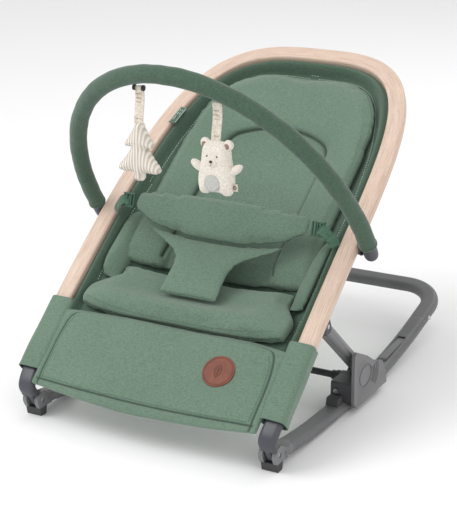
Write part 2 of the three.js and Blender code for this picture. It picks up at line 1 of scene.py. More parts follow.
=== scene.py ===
"""Looks for the baby bouncer seat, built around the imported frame.

Metres, in the row frame: the feet point to -Y, the head to +Y and +Z is up. The seat is
symmetric about X = 0. A point on the seat is given by its distance along the rails,
its place across and its depth under the rails.
"""

import math

import bpy
import numpy as np
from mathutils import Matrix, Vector, geometry, noise


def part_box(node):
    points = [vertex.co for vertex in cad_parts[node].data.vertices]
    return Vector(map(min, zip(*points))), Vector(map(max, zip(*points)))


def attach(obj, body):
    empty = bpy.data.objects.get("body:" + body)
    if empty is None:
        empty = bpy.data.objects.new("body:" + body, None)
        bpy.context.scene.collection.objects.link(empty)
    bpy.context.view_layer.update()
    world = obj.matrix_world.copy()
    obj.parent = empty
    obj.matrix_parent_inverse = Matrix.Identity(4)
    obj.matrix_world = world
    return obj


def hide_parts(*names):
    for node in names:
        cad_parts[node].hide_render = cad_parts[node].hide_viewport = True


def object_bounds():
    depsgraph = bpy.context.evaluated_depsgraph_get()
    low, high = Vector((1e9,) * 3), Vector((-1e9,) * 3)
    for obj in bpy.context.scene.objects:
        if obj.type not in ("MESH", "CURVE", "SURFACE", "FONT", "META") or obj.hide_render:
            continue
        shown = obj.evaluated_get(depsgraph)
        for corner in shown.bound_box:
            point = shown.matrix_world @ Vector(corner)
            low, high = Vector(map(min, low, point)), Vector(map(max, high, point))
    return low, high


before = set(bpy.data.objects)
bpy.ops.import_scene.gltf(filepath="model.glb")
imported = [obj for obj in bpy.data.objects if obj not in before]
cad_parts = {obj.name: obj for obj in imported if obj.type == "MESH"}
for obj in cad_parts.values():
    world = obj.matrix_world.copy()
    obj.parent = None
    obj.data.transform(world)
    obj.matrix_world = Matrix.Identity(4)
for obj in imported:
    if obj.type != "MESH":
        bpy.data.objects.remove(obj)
cad_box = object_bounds()

SIDES = {"left": -1, "right": 1}
MM = 0.001


# ---------------------------------------------------------------- measures from the frame
def middle(node):
    low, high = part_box(node)
    return (low + high) / 2


ORIGIN_Y = middle("seat_hinge_pin_right").y - 0.002
FLOOR = cad_box[0][2]

# seat rails
RAIL_START = (0.090, 0.1575)
RAIL_ANGLE = math.radians(39.5)
RAIL_BEND = 3.3
HOOP_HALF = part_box("wood_hoop")[1].x
HOOP_WIDTH = 0.028
HOOP_THICK = 0.015
HOOP_STRAIGHT = 0.030
HOOP_ARCH = 0.562
ARCH_ALONG = 4.6
ARCH_ACROSS = 3.2
HOOP_END = -0.020

# sling
SLING_FROM = -0.020
SLING_SEAT = 0.064
SLING_BACK = 0.056
SLING_HEAD = 0.026
SLING_EDGE = 0.010
ROLL_WIDTH = 0.016
FLANGE_DEPTH = 0.0175
FLANGE_REACH = 0.011

# base tubes
TUBE_WIDTH = 0.030
TUBE_HEIGHT = 0.019
RAIL_X = 0.203
ROCKER_RADIUS = 1.12
FLAT_FROM = 0.190
FLAT_TO = 0.280
RAIL_FRONT = 0.046
RAIL_REAR = 0.553
CROSSBAR = 0.655
CORNER = 0.060

# toy bar
BAR_HINGE = (0.2494, 0.2619)
BAR_X = 0.239
BAR_RADIUS = 0.0135
BAR_RISE = 0.341
BAR_FOOT = 0.012
BAR_LEAN = math.radians(125.8)
BAR_POWER = 2.0


def point(x, y, z):
    """A point given with y measured from the front foot pads."""
    return Vector((x, y + ORIGIN_Y, z))


def seat(along, x, depth=0.0):
    angle = RAIL_ANGLE - along / RAIL_BEND
    y = RAIL_START[0] + RAIL_BEND * (math.sin(RAIL_ANGLE) - math.sin(angle)) + depth * math.sin(angle)
    z = RAIL_START[1] + RAIL_BEND * (math.cos(angle) - math.cos(RAIL_ANGLE)) - depth * math.cos(angle)
    return point(x, y, z)


def seat_normal(along):
    angle = RAIL_ANGLE - along / RAIL_BEND
    return Vector((0, -math.sin(angle), math.cos(angle)))


def mix(a, b, t):
    return a + (b - a) * t


def smooth(t):
    t = min(1.0, max(0.0, t))
    return t * t * (3 - 2 * t)


def inside_half(along, gap=0.0015):
    half = HOOP_HALF - HOOP_WIDTH - gap
    rise = max(0.0, along - HOOP_STRAIGHT) / (HOOP_ARCH - HOOP_WIDTH - gap)
    return half * max(0.0, 1 - rise**ARCH_ALONG) ** (1 / ARCH_ACROSS)


def sling_depth(along, x):
    dip = smooth((along + 0.010) / 0.070)
    floor = mix(SLING_SEAT, SLING_BACK, smooth((along - 0.090) / 0.060))
    floor = mix(floor, SLING_HEAD, smooth((along - 0.340) / 0.220))
    centre = mix(SLING_EDGE + 0.004, floor, dip)
    across = min(1.0, abs(x) / max(0.001, inside_half(along)))
    return mix(centre, SLING_EDGE, across**3)


# ---------------------------------------------------------------- mesh helpers
def make(name, verts, faces, material, uvs=None, flat=False):
    mesh = bpy.data.meshes.new(name)
    mesh.from_pydata([tuple(v) for v in verts], [], faces)
    mesh.validate()
    if uvs is not None:
        layer = mesh.uv_layers.new(name="UVMap")
        for loop in mesh.loops:
            layer.data[loop.index].uv = uvs[loop.vertex_index]
    mesh.polygons.foreach_set("use_smooth", [not flat] * len(mesh.polygons))
    obj = bpy.data.objects.new(name, mesh)
    bpy.context.scene.collection.objects.link(obj)
    mesh.materials.append(material)
    return obj


def apply_modifiers(obj):
    """Turns what the modifiers make into the object's own mesh."""
    depsgraph = bpy.context.evaluated_depsgraph_get()
    mesh = bpy.data.meshes.new_from_object(obj.evaluated_get(depsgraph))
    obj.modifiers.clear()
    obj.data = mesh
    mesh.polygons.foreach_set("use_smooth", [True] * len(mesh.polygons))
    return obj


def modify(obj, kind, **settings):
    modifier = obj.modifiers.new(kind.lower(), kind)
    for key, value in settings.items():
        setattr(modifier, key, value)
    return modifier


def resample(points, count):
    pts = np.array([tuple(p) for p in points])
    steps = np.linalg.norm(np.diff(pts, axis=0), axis=1)
    reach = np.concatenate([[0], np.cumsum(steps)])
    wanted = np.linspace(0, reach[-1], count)
    return [Vector([np.interp(w, reach, pts[:, k]) for k in range(3)]) for w in wanted]


def rounded_section(width, height, radius, segments=6):
    """Outline of a rounded rectangle: width along the side, height along the normal."""
    outline = []
    for corner in range(4):
        sign_w = (1, -1, -1, 1)[corner]
        sign_h = (1, 1, -1, -1)[corner]
        centre = (sign_w * (width / 2 - radius), sign_h * (height / 2 - radius))
        for i in range(segments + 1):
            angle = (corner + i / segments) * math.pi / 2
            outline.append((centre[0] + radius * math.cos(angle), centre[1] + radius * math.sin(angle)))
    return outline


def ring_section(radius, segments=32):
    turn = 2 * math.pi / segments
    return [(radius * math.cos(i * turn), radius * math.sin(i * turn)) for i in range(segments)]


def sweep(name, path, section, material, normal_at, closed=False, capped=True, scale_at=None):
    """A section swept along points, its height along normal_at(i, point). UV: metres around and along."""
    count = len(path)
    verts, uvs, faces = [], [], []
    around = [0.0]
    for a, b in zip(section, section[1:]):
        around.append(around[-1] + math.dist(a, b))
    reach = 0.0
    for i, here in enumerate(path):
        ahead = path[(i + 1) % count] if closed or i + 1 < count else here
        behind = path[i - 1] if closed or i > 0 else here
        tangent = (ahead - behind).normalized()
        normal = normal_at(i, here)
        normal = (normal - tangent * normal.dot(tangent)).normalized()
        side = tangent.cross(normal)
        if i > 0:
            reach += (here - path[i - 1]).length
        size = scale_at(i / (count - 1)) if scale_at else 1.0
        for (w, h), u in zip(section, around):
            verts.append(here + side * w * size + normal * h * size)
            uvs.append((u, reach))
    width = len(section)
    for i in range(count if closed else count - 1):
        for k in range(width):
            a, b = i * width + k, i * width + (k + 1) % width
            c, d = (b + width) % len(verts), (a + width) % len(verts)
            faces.append((a, b, c, d))
    if capped and not closed:
        faces.append(tuple(reversed(range(width))))
        faces.append(tuple(range(len(verts) - width, len(verts))))
    return make(name, verts, faces, material, uvs)


def slab(name, columns, rows, place, material):
    """A closed form: place(a, b, c) gives the point for a and b from -1 to 1, on the face c = 1 or -1."""
    verts, faces = [], []
    width = columns + 1
    for c in (1, -1):
        for j in range(rows + 1):
            for i in range(width):
                verts.append(place(2 * i / columns - 1, 2 * j / rows - 1, c))
    back = width * (rows + 1)
    for j in range(rows):
        for i in range(columns):
            a = j * width + i
            faces.append((a, a + 1, a + width + 1, a + width))
            faces.append((back + a, back + a + width, back + a + width + 1, back + a + 1))
    rim = list(range(width))
    rim += [j * width + columns for j in range(1, rows + 1)]
    rim += [rows * width + i for i in range(columns - 1, -1, -1)]
    rim += [j * width for j in range(rows - 1, 0, -1)]
    for a, b in zip(rim, rim[1:] + rim[:1]):
        faces.append((b, a, back + a, back + b))
    return make(name, verts, faces, material)


def pad_normals(obj):
    mesh = obj.data
    normals = np.zeros(len(mesh.vertices) * 3)
    mesh.vertices.foreach_get("normal", normals)
    return normals.reshape(-1, 3)


def coordinates(obj):
    flat = np.zeros(len(obj.data.vertices) * 3)
    obj.data.vertices.foreach_get("co", flat)
    return flat.reshape(-1, 3)


def set_coordinates(obj, co):
    obj.data.vertices.foreach_set("co", co.astype(np.float32).ravel())
    obj.data.update()


def remesh(obj, voxel, relax=6):
    modify(obj, "REMESH", mode="VOXEL", voxel_size=voxel)
    modify(obj, "SMOOTH", factor=0.5, iterations=relax)
    return apply_modifiers(obj)


def distance_to_lines(co, lines):
    best = np.full(len(co), 1.0)
    for line in lines:
        pts = np.array([tuple(p) for p in line])
        for a, b in zip(pts, pts[1:]):
            step = b - a
            share = np.clip(((co - a) @ step) / max(1e-12, step @ step), 0, 1)
            gap = np.linalg.norm(co - (a + share[:, None] * step), axis=1)
            best = np.minimum(best, gap)
    return best


def seam(obj, lines, depth, width):
    """Presses a sewn line into a padded piece, and marks it for the material; on cloth this mark becomes
    painted shade along the crease.
    """
    co = coordinates(obj)
    # press also serves as the mask for the painted shade along the seam on cloth
    press = np.exp(-((distance_to_lines(co, lines) / width) ** 2))
    set_coordinates(obj, co - pad_normals(obj) * (depth * press)[:, None])
    name = "seam"
    mark = obj.data.attributes.get(name) or obj.data.attributes.new(name, "FLOAT", "POINT")
    before = np.zeros(len(co), np.float32)
    mark.data.foreach_get("value", before)
    mark.data.foreach_set("value", np.maximum(before, press).astype(np.float32))


def on_surface(obj, line, lift=0.0):
    """The points of a line moved to the nearest place on a piece."""
    obj.data.update()
    out = []
    for p in line:
        found, near, normal, _ = obj.closest_point_on_mesh(p)
        out.append(near + normal * lift if found else p)
    return out


def stitches(name, obj, line, material, pitch=0.0042, length=0.0028, radius=0.00045):
    """Sewing thread: short capsules along a line on a piece."""
    reach = sum((b - a).length for a, b in zip(line, line[1:]))
    path = on_surface(obj, resample(line, max(3, int(reach / (pitch / 2)))), radius * 0.6)
    verts, faces = [], []
    sides = 5
    for i in range(0, len(path) - 1, 2):
        along = (path[i + 1] - path[i]).normalized()
        across = along.orthogonal().normalized()
        other = along.cross(across)
        start = len(verts)
        for share, size in ((-0.5, 0.4), (-0.35, 1.0), (0.35, 1.0), (0.5, 0.4)):
            for k in range(sides):
                turn = 2 * math.pi * k / sides
                ring = (across * math.cos(turn) + other * math.sin(turn)) * radius * size
                verts.append(path[i] + along * length * share + ring)
        for r in range(3):
            for k in range(sides):
                a = start + r * sides + k
                b = start + r * sides + (k + 1) % sides
                faces.append((a, b, b + sides, a + sides))
        faces.append(tuple(start + k for k in reversed(range(sides))))
        faces.append(tuple(start + 3 * sides + k for k in range(sides)))
    return make(name, verts, faces, material)


def wrinkle(obj, size, amount, stretch=(1, 1, 1), seed=0.0):
    co = coordinates(obj)
    normals = pad_normals(obj)
    push = [noise.noise(Vector((p[0] * stretch[0], p[1] * stretch[1], p[2] * stretch[2])) / size
                        + Vector((seed, seed, 0))) for p in co]
    set_coordinates(obj, co + normals * (amount * np.array(push))[:, None])


def puff(pieces, frames=20):
    """Blows the pads up with cloth pressure, all at once, and keeps each point within its cap."""
    scene = bpy.context.scene
    rest = {}
    for obj, pressure, _ in pieces:
        cloth = modify(obj, "CLOTH")
        cloth.settings.quality = 4
        cloth.settings.use_pressure = True
        cloth.settings.uniform_pressure_force = pressure
        cloth.settings.effector_weights.gravity = 0
        rest[obj.name] = coordinates(obj)
    for step in range(1, frames + 1):
        scene.frame_set(step)
    for obj, _, cap in pieces:
        apply_modifiers(obj)
        move = coordinates(obj) - rest[obj.name]
        size = np.linalg.norm(move, axis=1)
        allowed = cap * np.tanh(size / cap)
        move *= (allowed / np.maximum(size, 1e-9))[:, None]
        set_coordinates(obj, rest[obj.name] + move)
    scene.frame_set(1)


def refine(obj, levels=1, relax=2):
    modify(obj, "SUBSURF", levels=levels, render_levels=levels)
    modify(obj, "SMOOTH", factor=0.5, iterations=relax)
    return apply_modifiers(obj)


def finish_piece(obj, body, nodes=()):
    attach(obj, body)
    if nodes:
        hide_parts(*nodes)
    return obj


# ---------------------------------------------------------------- materials
class Shader:
    """A principled material whose nodes are added one call at a time."""

    def __init__(self, name, roughness=0.5, **sockets):
        self.material = bpy.data.materials.new(name)
        self.material.use_nodes = True
        self.tree = self.material.node_tree
        self.bsdf = self.tree.nodes["Principled BSDF"]
        self.bsdf.inputs["Roughness"].default_value = roughness
        for key, value in sockets.items():
            self.bsdf.inputs[key.replace("_", " ")].default_value = value

    def node(self, kind, links=(), **settings):
        made = self.tree.nodes.new("ShaderNode" + kind)
        for key, value in settings.items():
            if hasattr(made, key):
                setattr(made, key, value)
            else:
                made.inputs[key.replace("_", " ")].default_value = value
        for socket, source in dict(links).items():
            self.tree.links.new(source, made.inputs[socket])
        return made

    def place(self, stretch=(1, 1, 1), turn=0.0, uv=False):
        coord = self.node("TexCoord").outputs["UV" if uv else "Object"]
        made = self.node("Mapping", {"Vector": coord})
        made.inputs["Rotation"].default_value = (turn, 0, 0)
        made.inputs["Scale"].default_value = stretch
        return made.outputs["Vector"]

    def noise(self, scale, where, detail=3.0, roughness=0.55):
        made = self.node("TexNoise", {"Vector": where}, Scale=scale, Detail=detail, Roughness=roughness)
        return made.outputs["Fac"]

    def ramp(self, source, stops):
        made = self.node("ValToRGB", {"Fac": source})
        ramp = made.color_ramp
        while len(ramp.elements) < len(stops):
            ramp.elements.new(0.5)
        for element, (position, colour) in zip(ramp.elements, stops):
            element.position = position
            element.color = (*colour, 1) if len(colour) == 3 else colour
        return made.outputs["Color"]

    def blend(self, kind, amount, a, b):
        made = self.node("MixRGB", blend_type=kind)
        for socket, value in (("Fac", amount), ("Color1", a), ("Color2", b)):
            if isinstance(value, (int, float)):
                made.inputs[socket].default_value = value
            elif isinstance(value, tuple):
                made.inputs[socket].default_value = (*value, 1)
            else:
                self.tree.links.new(value, made.inputs[socket])
        return made.outputs["Color"]

    def wave(self, scale, where, direction, distortion=0.0):
        made = self.node("TexWave", {"Vector": where}, wave_type="BANDS", bands_direction=direction,
                         Scale=scale, Distortion=distortion, Detail=1.0)
        return made.outputs["Fac"]

    def colour(self, source):
        self.tree.links.new(source, self.bsdf.inputs["Base Color"])

    def rough(self, source, low, high):
        made = self.node("MapRange", {"Value": source}, To_Min=low, To_Max=high)
        self.tree.links.new(made.outputs["Result"], self.bsdf.inputs["Roughness"])

    def bump(self, *heights):
        """Bumps one after another, each (height, strength, distance in metres)."""
        last = None
        for height, strength, distance in heights:
            made = self.node("Bump", {"Height": height}, Strength=strength, Distance=distance)
            if last:
                self.tree.links.new(last, made.inputs["Normal"])
            last = made.outputs["Normal"]
        self.tree.links.new(last, self.bsdf.inputs["Normal"])


SLUBS_PER_METRE = 240


def cloth_material(name, dark, light, streak, weave=900.0, turn=RAIL_ANGLE, sheen=0.25):
    """Melange cloth: slubs drawn out across the seat, a fine weave, and painted shade darkening the pressed
    seam lines.
    """
    s = Shader(name, 0.92, Sheen_Weight=sheen, Sheen_Roughness=0.45)
    lie = s.place(turn=-turn)
    slubs = s.noise(SLUBS_PER_METRE, s.place((1, streak, streak), -turn), 4.0, 0.6)
    patches = s.noise(9, lie, 2.0)
    tone = s.ramp(slubs, [(0.32, dark), (0.68, light)])
    cloudy = s.ramp(patches, [(0.3, (0.82, 0.84, 0.83)), (0.7, (1.06, 1.05, 1.05))])
    tone = s.blend("MULTIPLY", 0.35, tone, cloudy)
    # painted shade: the colour darkens where the seam attribute marks a pressed seam crease
    mark = s.node("Attribute", attribute_name="seam").outputs["Fac"]
    deep = s.ramp(mark, [(0.35, (1, 1, 1)), (0.95, (0.33, 0.36, 0.34))])
    s.colour(s.blend("MULTIPLY", 1.0, tone, deep))
    warp = s.wave(weave / 6.28, lie, "X")
    weft = s.wave(weave / 6.28, lie, "Y", 0.4)
    s.bump((s.blend("MULTIPLY", 1.0, warp, weft), 0.35, 0.0004), (slubs, 0.3, 0.0006))
    return s.material


def wood_material():
    """Pale bent plywood: grain runs along the hoop, with fine pores under a matt lacquer."""
    s = Shader("pale_wood", 0.5, Coat_Weight=0.15, Coat_Roughness=0.35)
    grain = s.noise(60, s.place((9, 0.35, 1), uv=True), 6.0, 0.62)
    bands = s.noise(14, s.place((6, 0.22, 1), uv=True), 3.0, 0.5)
    pores = s.noise(420, s.place((6, 0.25, 1), uv=True), 2.0)
    stops = [(0.3, (0.56, 0.40, 0.305)), (0.5, (0.69, 0.53, 0.43)), (0.72, (0.78, 0.635, 0.535))]
    tone = s.ramp(grain, stops)
    tone = s.blend("MULTIPLY", 0.45, tone, s.ramp(bands, [(0.35, (0.86, 0.8, 0.76)), (0.65, (1, 1, 1))]))
    tone = s.blend("MULTIPLY", 0.35, tone, s.ramp(pores, [(0.36, (0.62, 0.52, 0.46)), (0.44, (1, 1, 1))]))
    s.colour(tone)
    s.rough(grain, 0.42, 0.6)
    s.bump((grain, 0.12, 0.0004), (pores, 0.2, 0.0002))
    return s.material


def paint_material(name, colour, metallic=0.0, roughness=0.45, grit=900.0):
    """Powder coat or moulded plastic: fine texture, slight cloudiness and lighter rubbed edges."""
    s = Shader(name, roughness, Metallic=metallic)
    lie = s.place()
    fine = s.noise(grit, lie, 2.0)
    cloud = s.noise(14, lie, 4.0, 0.6)
    dim = tuple(c * 0.86 for c in colour)
    lit = tuple(min(1.0, c * 1.12) for c in colour)
    tone = s.ramp(cloud, [(0.3, dim), (0.7, lit)])
    worn = tuple(min(1.0, c * 1.7 + 0.03) for c in colour)
    edge = s.node("NewGeometry").outputs["Pointiness"]
    rubbed = s.ramp(edge, [(0.52, (0, 0, 0)), (0.6, (0.5, 0.5, 0.5))])
    s.colour(s.blend("MIX", rubbed, tone, worn))
    s.rough(cloud, roughness - 0.06, roughness + 0.1)
    s.bump((fine, 0.12, 0.0003))
    return s.material


def steel_material():
    s = Shader("steel", 0.3, Metallic=1.0)
    brushed = s.noise(260, s.place((0.15, 1, 1)), 3.0)
    s.colour(s.ramp(brushed, [(0.3, (0.42, 0.43, 0.45)), (0.7, (0.66, 0.67, 0.69))]))
    s.rough(brushed, 0.22, 0.42)
    s.bump((brushed, 0.1, 0.0002))
    return s.material


def leather_material():
    s = Shader("brown_leather", 0.55)
    lie = s.place()
    grain = s.node("TexVoronoi", {"Vector": lie}, Scale=900.0).outputs["Distance"]
    cloud = s.noise(60, lie, 4.0)
    tone = s.ramp(cloud, [(0.3, (0.150, 0.038, 0.019)), (0.7, (0.226, 0.062, 0.030))])
    mark = s.node("Attribute", attribute_name="seam").outputs["Fac"]
    s.colour(s.blend("MULTIPLY", 1.0, tone, s.ramp(mark, [(0.3, (1, 1, 1)), (0.9, (0.5, 0.45, 0.42))])))
    s.bump((grain, 0.35, 0.0003), (cloud, 0.2, 0.0006))
    return s.material


def plush_material(name, dark, light, fur=420.0):
    s = Shader(name, 0.95, Sheen_Weight=0.5, Sheen_Roughness=0.4)
    lie = s.place()
    tufts = s.noise(fur, lie, 5.0, 0.7)
    cloud = s.noise(40, lie, 3.0)
    tone = s.ramp(tufts, [(0.3, dark), (0.65, light)])
    s.colour(s.blend("MULTIPLY", 0.4, tone, s.ramp(cloud, [(0.3, (0.9, 0.88, 0.86)), (0.7, (1, 1, 1))])))
    s.bump((tufts, 0.7, 0.0012), (cloud, 0.2, 0.002))
    return s.material


def corduroy_material():
    """Cream corduroy whose cords run down the toy, with painted shade in the valleys between them."""
    s = Shader("cream_corduroy", 0.95, Sheen_Weight=0.4, Sheen_Roughness=0.4)
    lie = s.place()
    cords = s.wave(CORD_PER_METRE / 3.18, lie, "X")
    fuzz = s.noise(600, lie, 4.0, 0.7)
    # painted shade: the colour goes brown-grey in the low valleys between the cords
    tone = s.ramp(cords, [(0.18, (0.55, 0.48, 0.41)), (0.5, (0.76, 0.70, 0.62)), (0.8, (0.86, 0.82, 0.74))])
    s.colour(s.blend("MULTIPLY", 0.3, tone, s.ramp(fuzz, [(0.3, (0.85, 0.83, 0.8)), (0.7, (1, 1, 1))])))
    s.bump((cords, 0.6, 0.0015), (fuzz, 0.5, 0.0006))
    return s.material


CORD_PER_METRE = 210.0

JERSEY = cloth_material("melange_jersey", (0.088, 0.150, 0.106), (0.185, 0.268, 0.200), 5.0)
WOVEN = cloth_material("woven_green", (0.108, 0.176, 0.126), (0.166, 0.246, 0.184), 2.0, 1400.0)
SHELL = cloth_material("shell_green", (0.050, 0.098, 0.064), (0.090, 0.150, 0.105), 2.0, 1400.0)
BAR_CLOTH = cloth_material("bar_cloth", (0.046, 0.092, 0.060), (0.078, 0.134, 0.092), 1.5, 1400.0, 0.0)
WEBBING = cloth_material("webbing_green", (0.05, 0.12, 0.075), (0.10, 0.20, 0.135), 1.0, 2600.0, 0.0)
THREAD = paint_material("green_thread", (0.045, 0.10, 0.065), 0.0, 0.8, 3000.0)
PALE_THREAD = paint_material("pale_thread", (0.5, 0.6, 0.52), 0.0, 0.8, 3000.0)
WOOD = wood_material()
TUBE_GREY = paint_material("grey_powder_coat", (0.135, 0.135, 0.14), 0.0, 0.42)
SLATE = paint_material("slate_paint", (0.058, 0.060, 0.072), 0.0, 0.36)
DARK = paint_material("dark_plastic", (0.035, 0.035, 0.038), 0.0, 0.5, 1500.0)
RUBBER = paint_material("black_rubber", (0.03, 0.03, 0.031), 0.0, 0.75, 700.0)
GREEN_PLASTIC = paint_material("green_plastic", (0.045, 0.115, 0.075), 0.0, 0.38, 1500.0)
STEEL = steel_material()
LEATHER = leather_material()
PLUSH = plush_material("cream_plush", (0.62, 0.55, 0.46), (0.86, 0.82, 0.75))
BELLY = plush_material("grey_plush", (0.40, 0.40, 0.38), (0.60, 0.60, 0.57), 700.0)
EAR_BROWN = plush_material("ear_brown", (0.22, 0.13, 0.11), (0.36, 0.24, 0.20), 700.0)
RIBBON = cloth_material("cream_ribbon", (0.55, 0.48, 0.39), (0.80, 0.74, 0.65), 1.0, 2600.0, 0.0)
NOSE_THREAD = paint_material("dark_thread", (0.04, 0.028, 0.024), 0.0, 0.8, 3000.0)

NODE_MATERIALS = {
    "joint_plug": DARK, "foot_pad": RUBBER, "seat_hinge_pin": STEEL, "hub_box": DARK, "hub_screw": STEEL,
    "rail_stop": RUBBER, "cross_rod": DARK, "leg_foot_pin": STEEL, "leg_top_pin": STEEL, "bar_core": DARK,
    "leg_bracket": DARK, "bar_clip": DARK, "foot_housing": TUBE_GREY, "hub_cover": TUBE_GREY,
    "kickstand": TUBE_GREY, "support_leg": TUBE_GREY,
}
BEVELS = {
    "foot_housing": 1.4, "foot_pad": 1.6, "hub_box": 1.2, "hub_cover": 0.9, "rail_stop": 1.5,
    "kickstand": 0.8,
    "leg_bracket": 1.2, "bar_clip": 0.6, "support_leg": 0.8, "cross_rod": 0.8, "hub_screw": 0.5,
}


def dress_cad_nodes():
    for node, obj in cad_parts.items():
        stem = node.removesuffix("_left").removesuffix("_right")
        obj.data.materials.clear()
        obj.data.materials.append(NODE_MATERIALS.get(stem, TUBE_GREY))
        if stem in BEVELS:
            modify(obj, "BEVEL", width=BEVELS[stem] * MM, segments=3, limit_method="ANGLE",
                   angle_limit=math.radians(32), harden_normals=False)


# ---------------------------------------------------------------- wood hoop
def hoop_path(inset, count, end=HOOP_END, depth=HOOP_THICK / 2):
    """The hoop's line, moved in from its outer edge, from the left rail round the head to the right one."""
    half = HOOP_HALF - inset
    arch = HOOP_ARCH - inset
    rough = [(mix(end, HOOP_STRAIGHT, i / 40), half) for i in range(40)]
    for i in range(121):
        angle = i / 120 * math.pi / 2
        x = half * max(0.0, math.cos(angle)) ** (2 / ARCH_ACROSS)
        rough.append((HOOP_STRAIGHT + arch * math.sin(angle) ** (2 / ARCH_ALONG), x))
    flat = [(a, -x) for a, x in rough] + [(a, x) for a, x in reversed(rough[:-1])]
    line = resample([Vector((a, x, 0)) for a, x in flat], count)
    return [(p.x, p.y) for p in line], [seat(p.x, p.y, depth) for p in line]


def wood_hoop():
    flat, path = hoop_path(HOOP_WIDTH / 2, 260)
    section = rounded_section(HOOP_WIDTH, HOOP_THICK, 0.0035)
    hoop = sweep("hoop_wood", path, section, WOOD, lambda i, p: seat_normal(flat[i][0]))
    finish_piece(hoop, "seat", ["wood_hoop"])


# ---------------------------------------------------------------- tubes of the base
def rocker_height(y):
    away = max(0.0, FLAT_FROM - y, y - FLAT_TO)
    return away**2 / (2 * ROCKER_RADIUS)


def tube_section():
    return rounded_section(TUBE_WIDTH, TUBE_HEIGHT, TUBE_HEIGHT / 2 - 0.0006, 10)


def lift_up(i, p):
    return Vector((0, 0, 1))


def box_cutter(low, high):
    verts = [(x, y, z) for x in (low[0], high[0]) for y in (low[1], high[1]) for z in (low[2], high[2])]
    faces = [(0, 1, 3, 2), (4, 6, 7, 5), (0, 4, 5, 1), (2, 3, 7, 6), (0, 2, 6, 4), (1, 5, 7, 3)]
    return make("cutter", verts, faces, TUBE_GREY, flat=True)


SLOT_FROM = 0.396
SLOT_TO = 0.484
SLOT_HALF = 0.007


def rocker_rails():
    for label, side in SIDES.items():
        steps = [mix(RAIL_FRONT, RAIL_REAR, i / 80) for i in range(81)]
        path = [point(side * RAIL_X, y, rocker_height(y) + TUBE_HEIGHT / 2) for y in steps]
        rail = sweep(f"rail_{label}", path, tube_section(), TUBE_GREY, lift_up)
        low = point(side * RAIL_X - SLOT_HALF, SLOT_FROM, -0.005)
        high = point(side * RAIL_X + SLOT_HALF, SLOT_TO, 0.06)
        cutter = box_cutter(low, high)
        modify(rail, "BOOLEAN", operation="DIFFERENCE", object=cutter, solver="EXACT")
        apply_modifiers(rail)
        bpy.data.objects.remove(cutter)
        rail.data.set_sharp_from_angle(angle=math.radians(40))
        finish_piece(rail, "base", [f"rocker_rail_{label}"])
        slot_rim(label, side)


def slot_rim(label, side):
    """The raised lip round the kickstand's slot."""
    line = []
    for x_sign, y_from, y_to in ((-1, SLOT_FROM, SLOT_TO), (1, SLOT_TO, SLOT_FROM)):
        for i in range(16):
            y = mix(y_from, y_to, i / 15)
            x = side * RAIL_X + x_sign * (SLOT_HALF + 0.0012)
            line.append(point(x, y, rocker_height(y) + TUBE_HEIGHT - 0.0002))
    rim = sweep(f"slot_rim_{label}", line, ring_section(0.0011, 10), TUBE_GREY, lift_up, closed=True)
    finish_piece(rim, "base")


def rear_tube():
    slope = (RAIL_REAR - FLAT_TO) / ROCKER_RADIUS

    def at(x, y):
        return point(x, y, rocker_height(RAIL_REAR) + TUBE_HEIGHT / 2 + slope * (y - RAIL_REAR))

    bend = CROSSBAR - CORNER
    reach = RAIL_X - CORNER
    half = [at(RAIL_X, mix(RAIL_REAR + 0.0006, bend, i / 12)) for i in range(12)]
    for i in range(25):
        turn = i / 24 * math.pi / 2
        half.append(at(reach + CORNER * math.cos(turn), bend + CORNER * math.sin(turn)))
    path = half + [Vector((-p.x, p.y, p.z)) for p in reversed(half)]
    path = resample(path, 150)
    normal = Vector((0, -slope, 1)).normalized()
    tube = sweep("crossbar_tube", path, tube_section(), TUBE_GREY, lambda i, p: normal)
    tube.data.set_sharp_from_angle(angle=math.radians(40))
    finish_piece(tube, "base", ["rear_tube"])
    for label, side in SIDES.items():
        face = RAIL_X + TUBE_WIDTH / 2
        button = [at(side * (face + out), RAIL_REAR + 0.014) for out in (-0.001, 0.0022)]
        piece = sweep(f"snap_button_{label}", resample(button, 4), ring_section(0.004, 20), STEEL, lift_up,
                      scale_at=lambda t: 1 - 0.35 * t**3)
        finish_piece(piece, "base")


def leg_tubes():
    """The bent front legs of the seat, from inside the sleeves down to the hinges on the base."""
    for label, side in SIDES.items():
        inner = [seat(-0.0215, side * 0.210, 0.0065), seat(-0.080, side * 0.2085, 0.0065),
                 seat(-0.118, side * 0.208, 0.0065)]
        lower = [point(side * 0.2055, -0.014, 0.054), point(side * 0.2045, -0.009, 0.038)]
        path = smooth_line(inner + lower, 60)
        tube = sweep(f"front_leg_{label}", path, rounded_section(0.014, 0.028, 0.0066, 8), SLATE,
                     lambda i, p: Vector((1, 0, 0)))
        tongue = [point(side * 0.2035, -0.0075, 0.041), point(side * RAIL_X, -0.0015, 0.032),
                  point(side * RAIL_X, 0.002, 0.026), point(side * RAIL_X, 0.005, 0.0205)]
        knuckle_section = rounded_section(0.017, 0.0126, 0.004, 6)
        knuckle = sweep(f"leg_knuckle_{label}", smooth_line(tongue, 16), knuckle_section,
                        SLATE, lambda i, p: Vector((1, 0, 0)))
        finish_piece(tube, "seat", [f"leg_tube_{label}"])
        finish_piece(knuckle, "seat")


def smooth_line(points, count):
    """A rounded line through the points."""
    pts = [2 * points[0] - points[1]] + list(points) + [2 * points[-1] - points[-2]]
    out = []
    for a, b, c, d in zip(pts, pts[1:], pts[2:], pts[3:]):
        for i in range(24):
            t = i / 24
            out.append(0.5 * (2 * b + (c - a) * t + (2 * a - 5 * b + 4 * c - d) * t * t
                              + (3 * b - a - 3 * c + d) * t**3))
    out.append(points[-1])
    return resample(out, count)


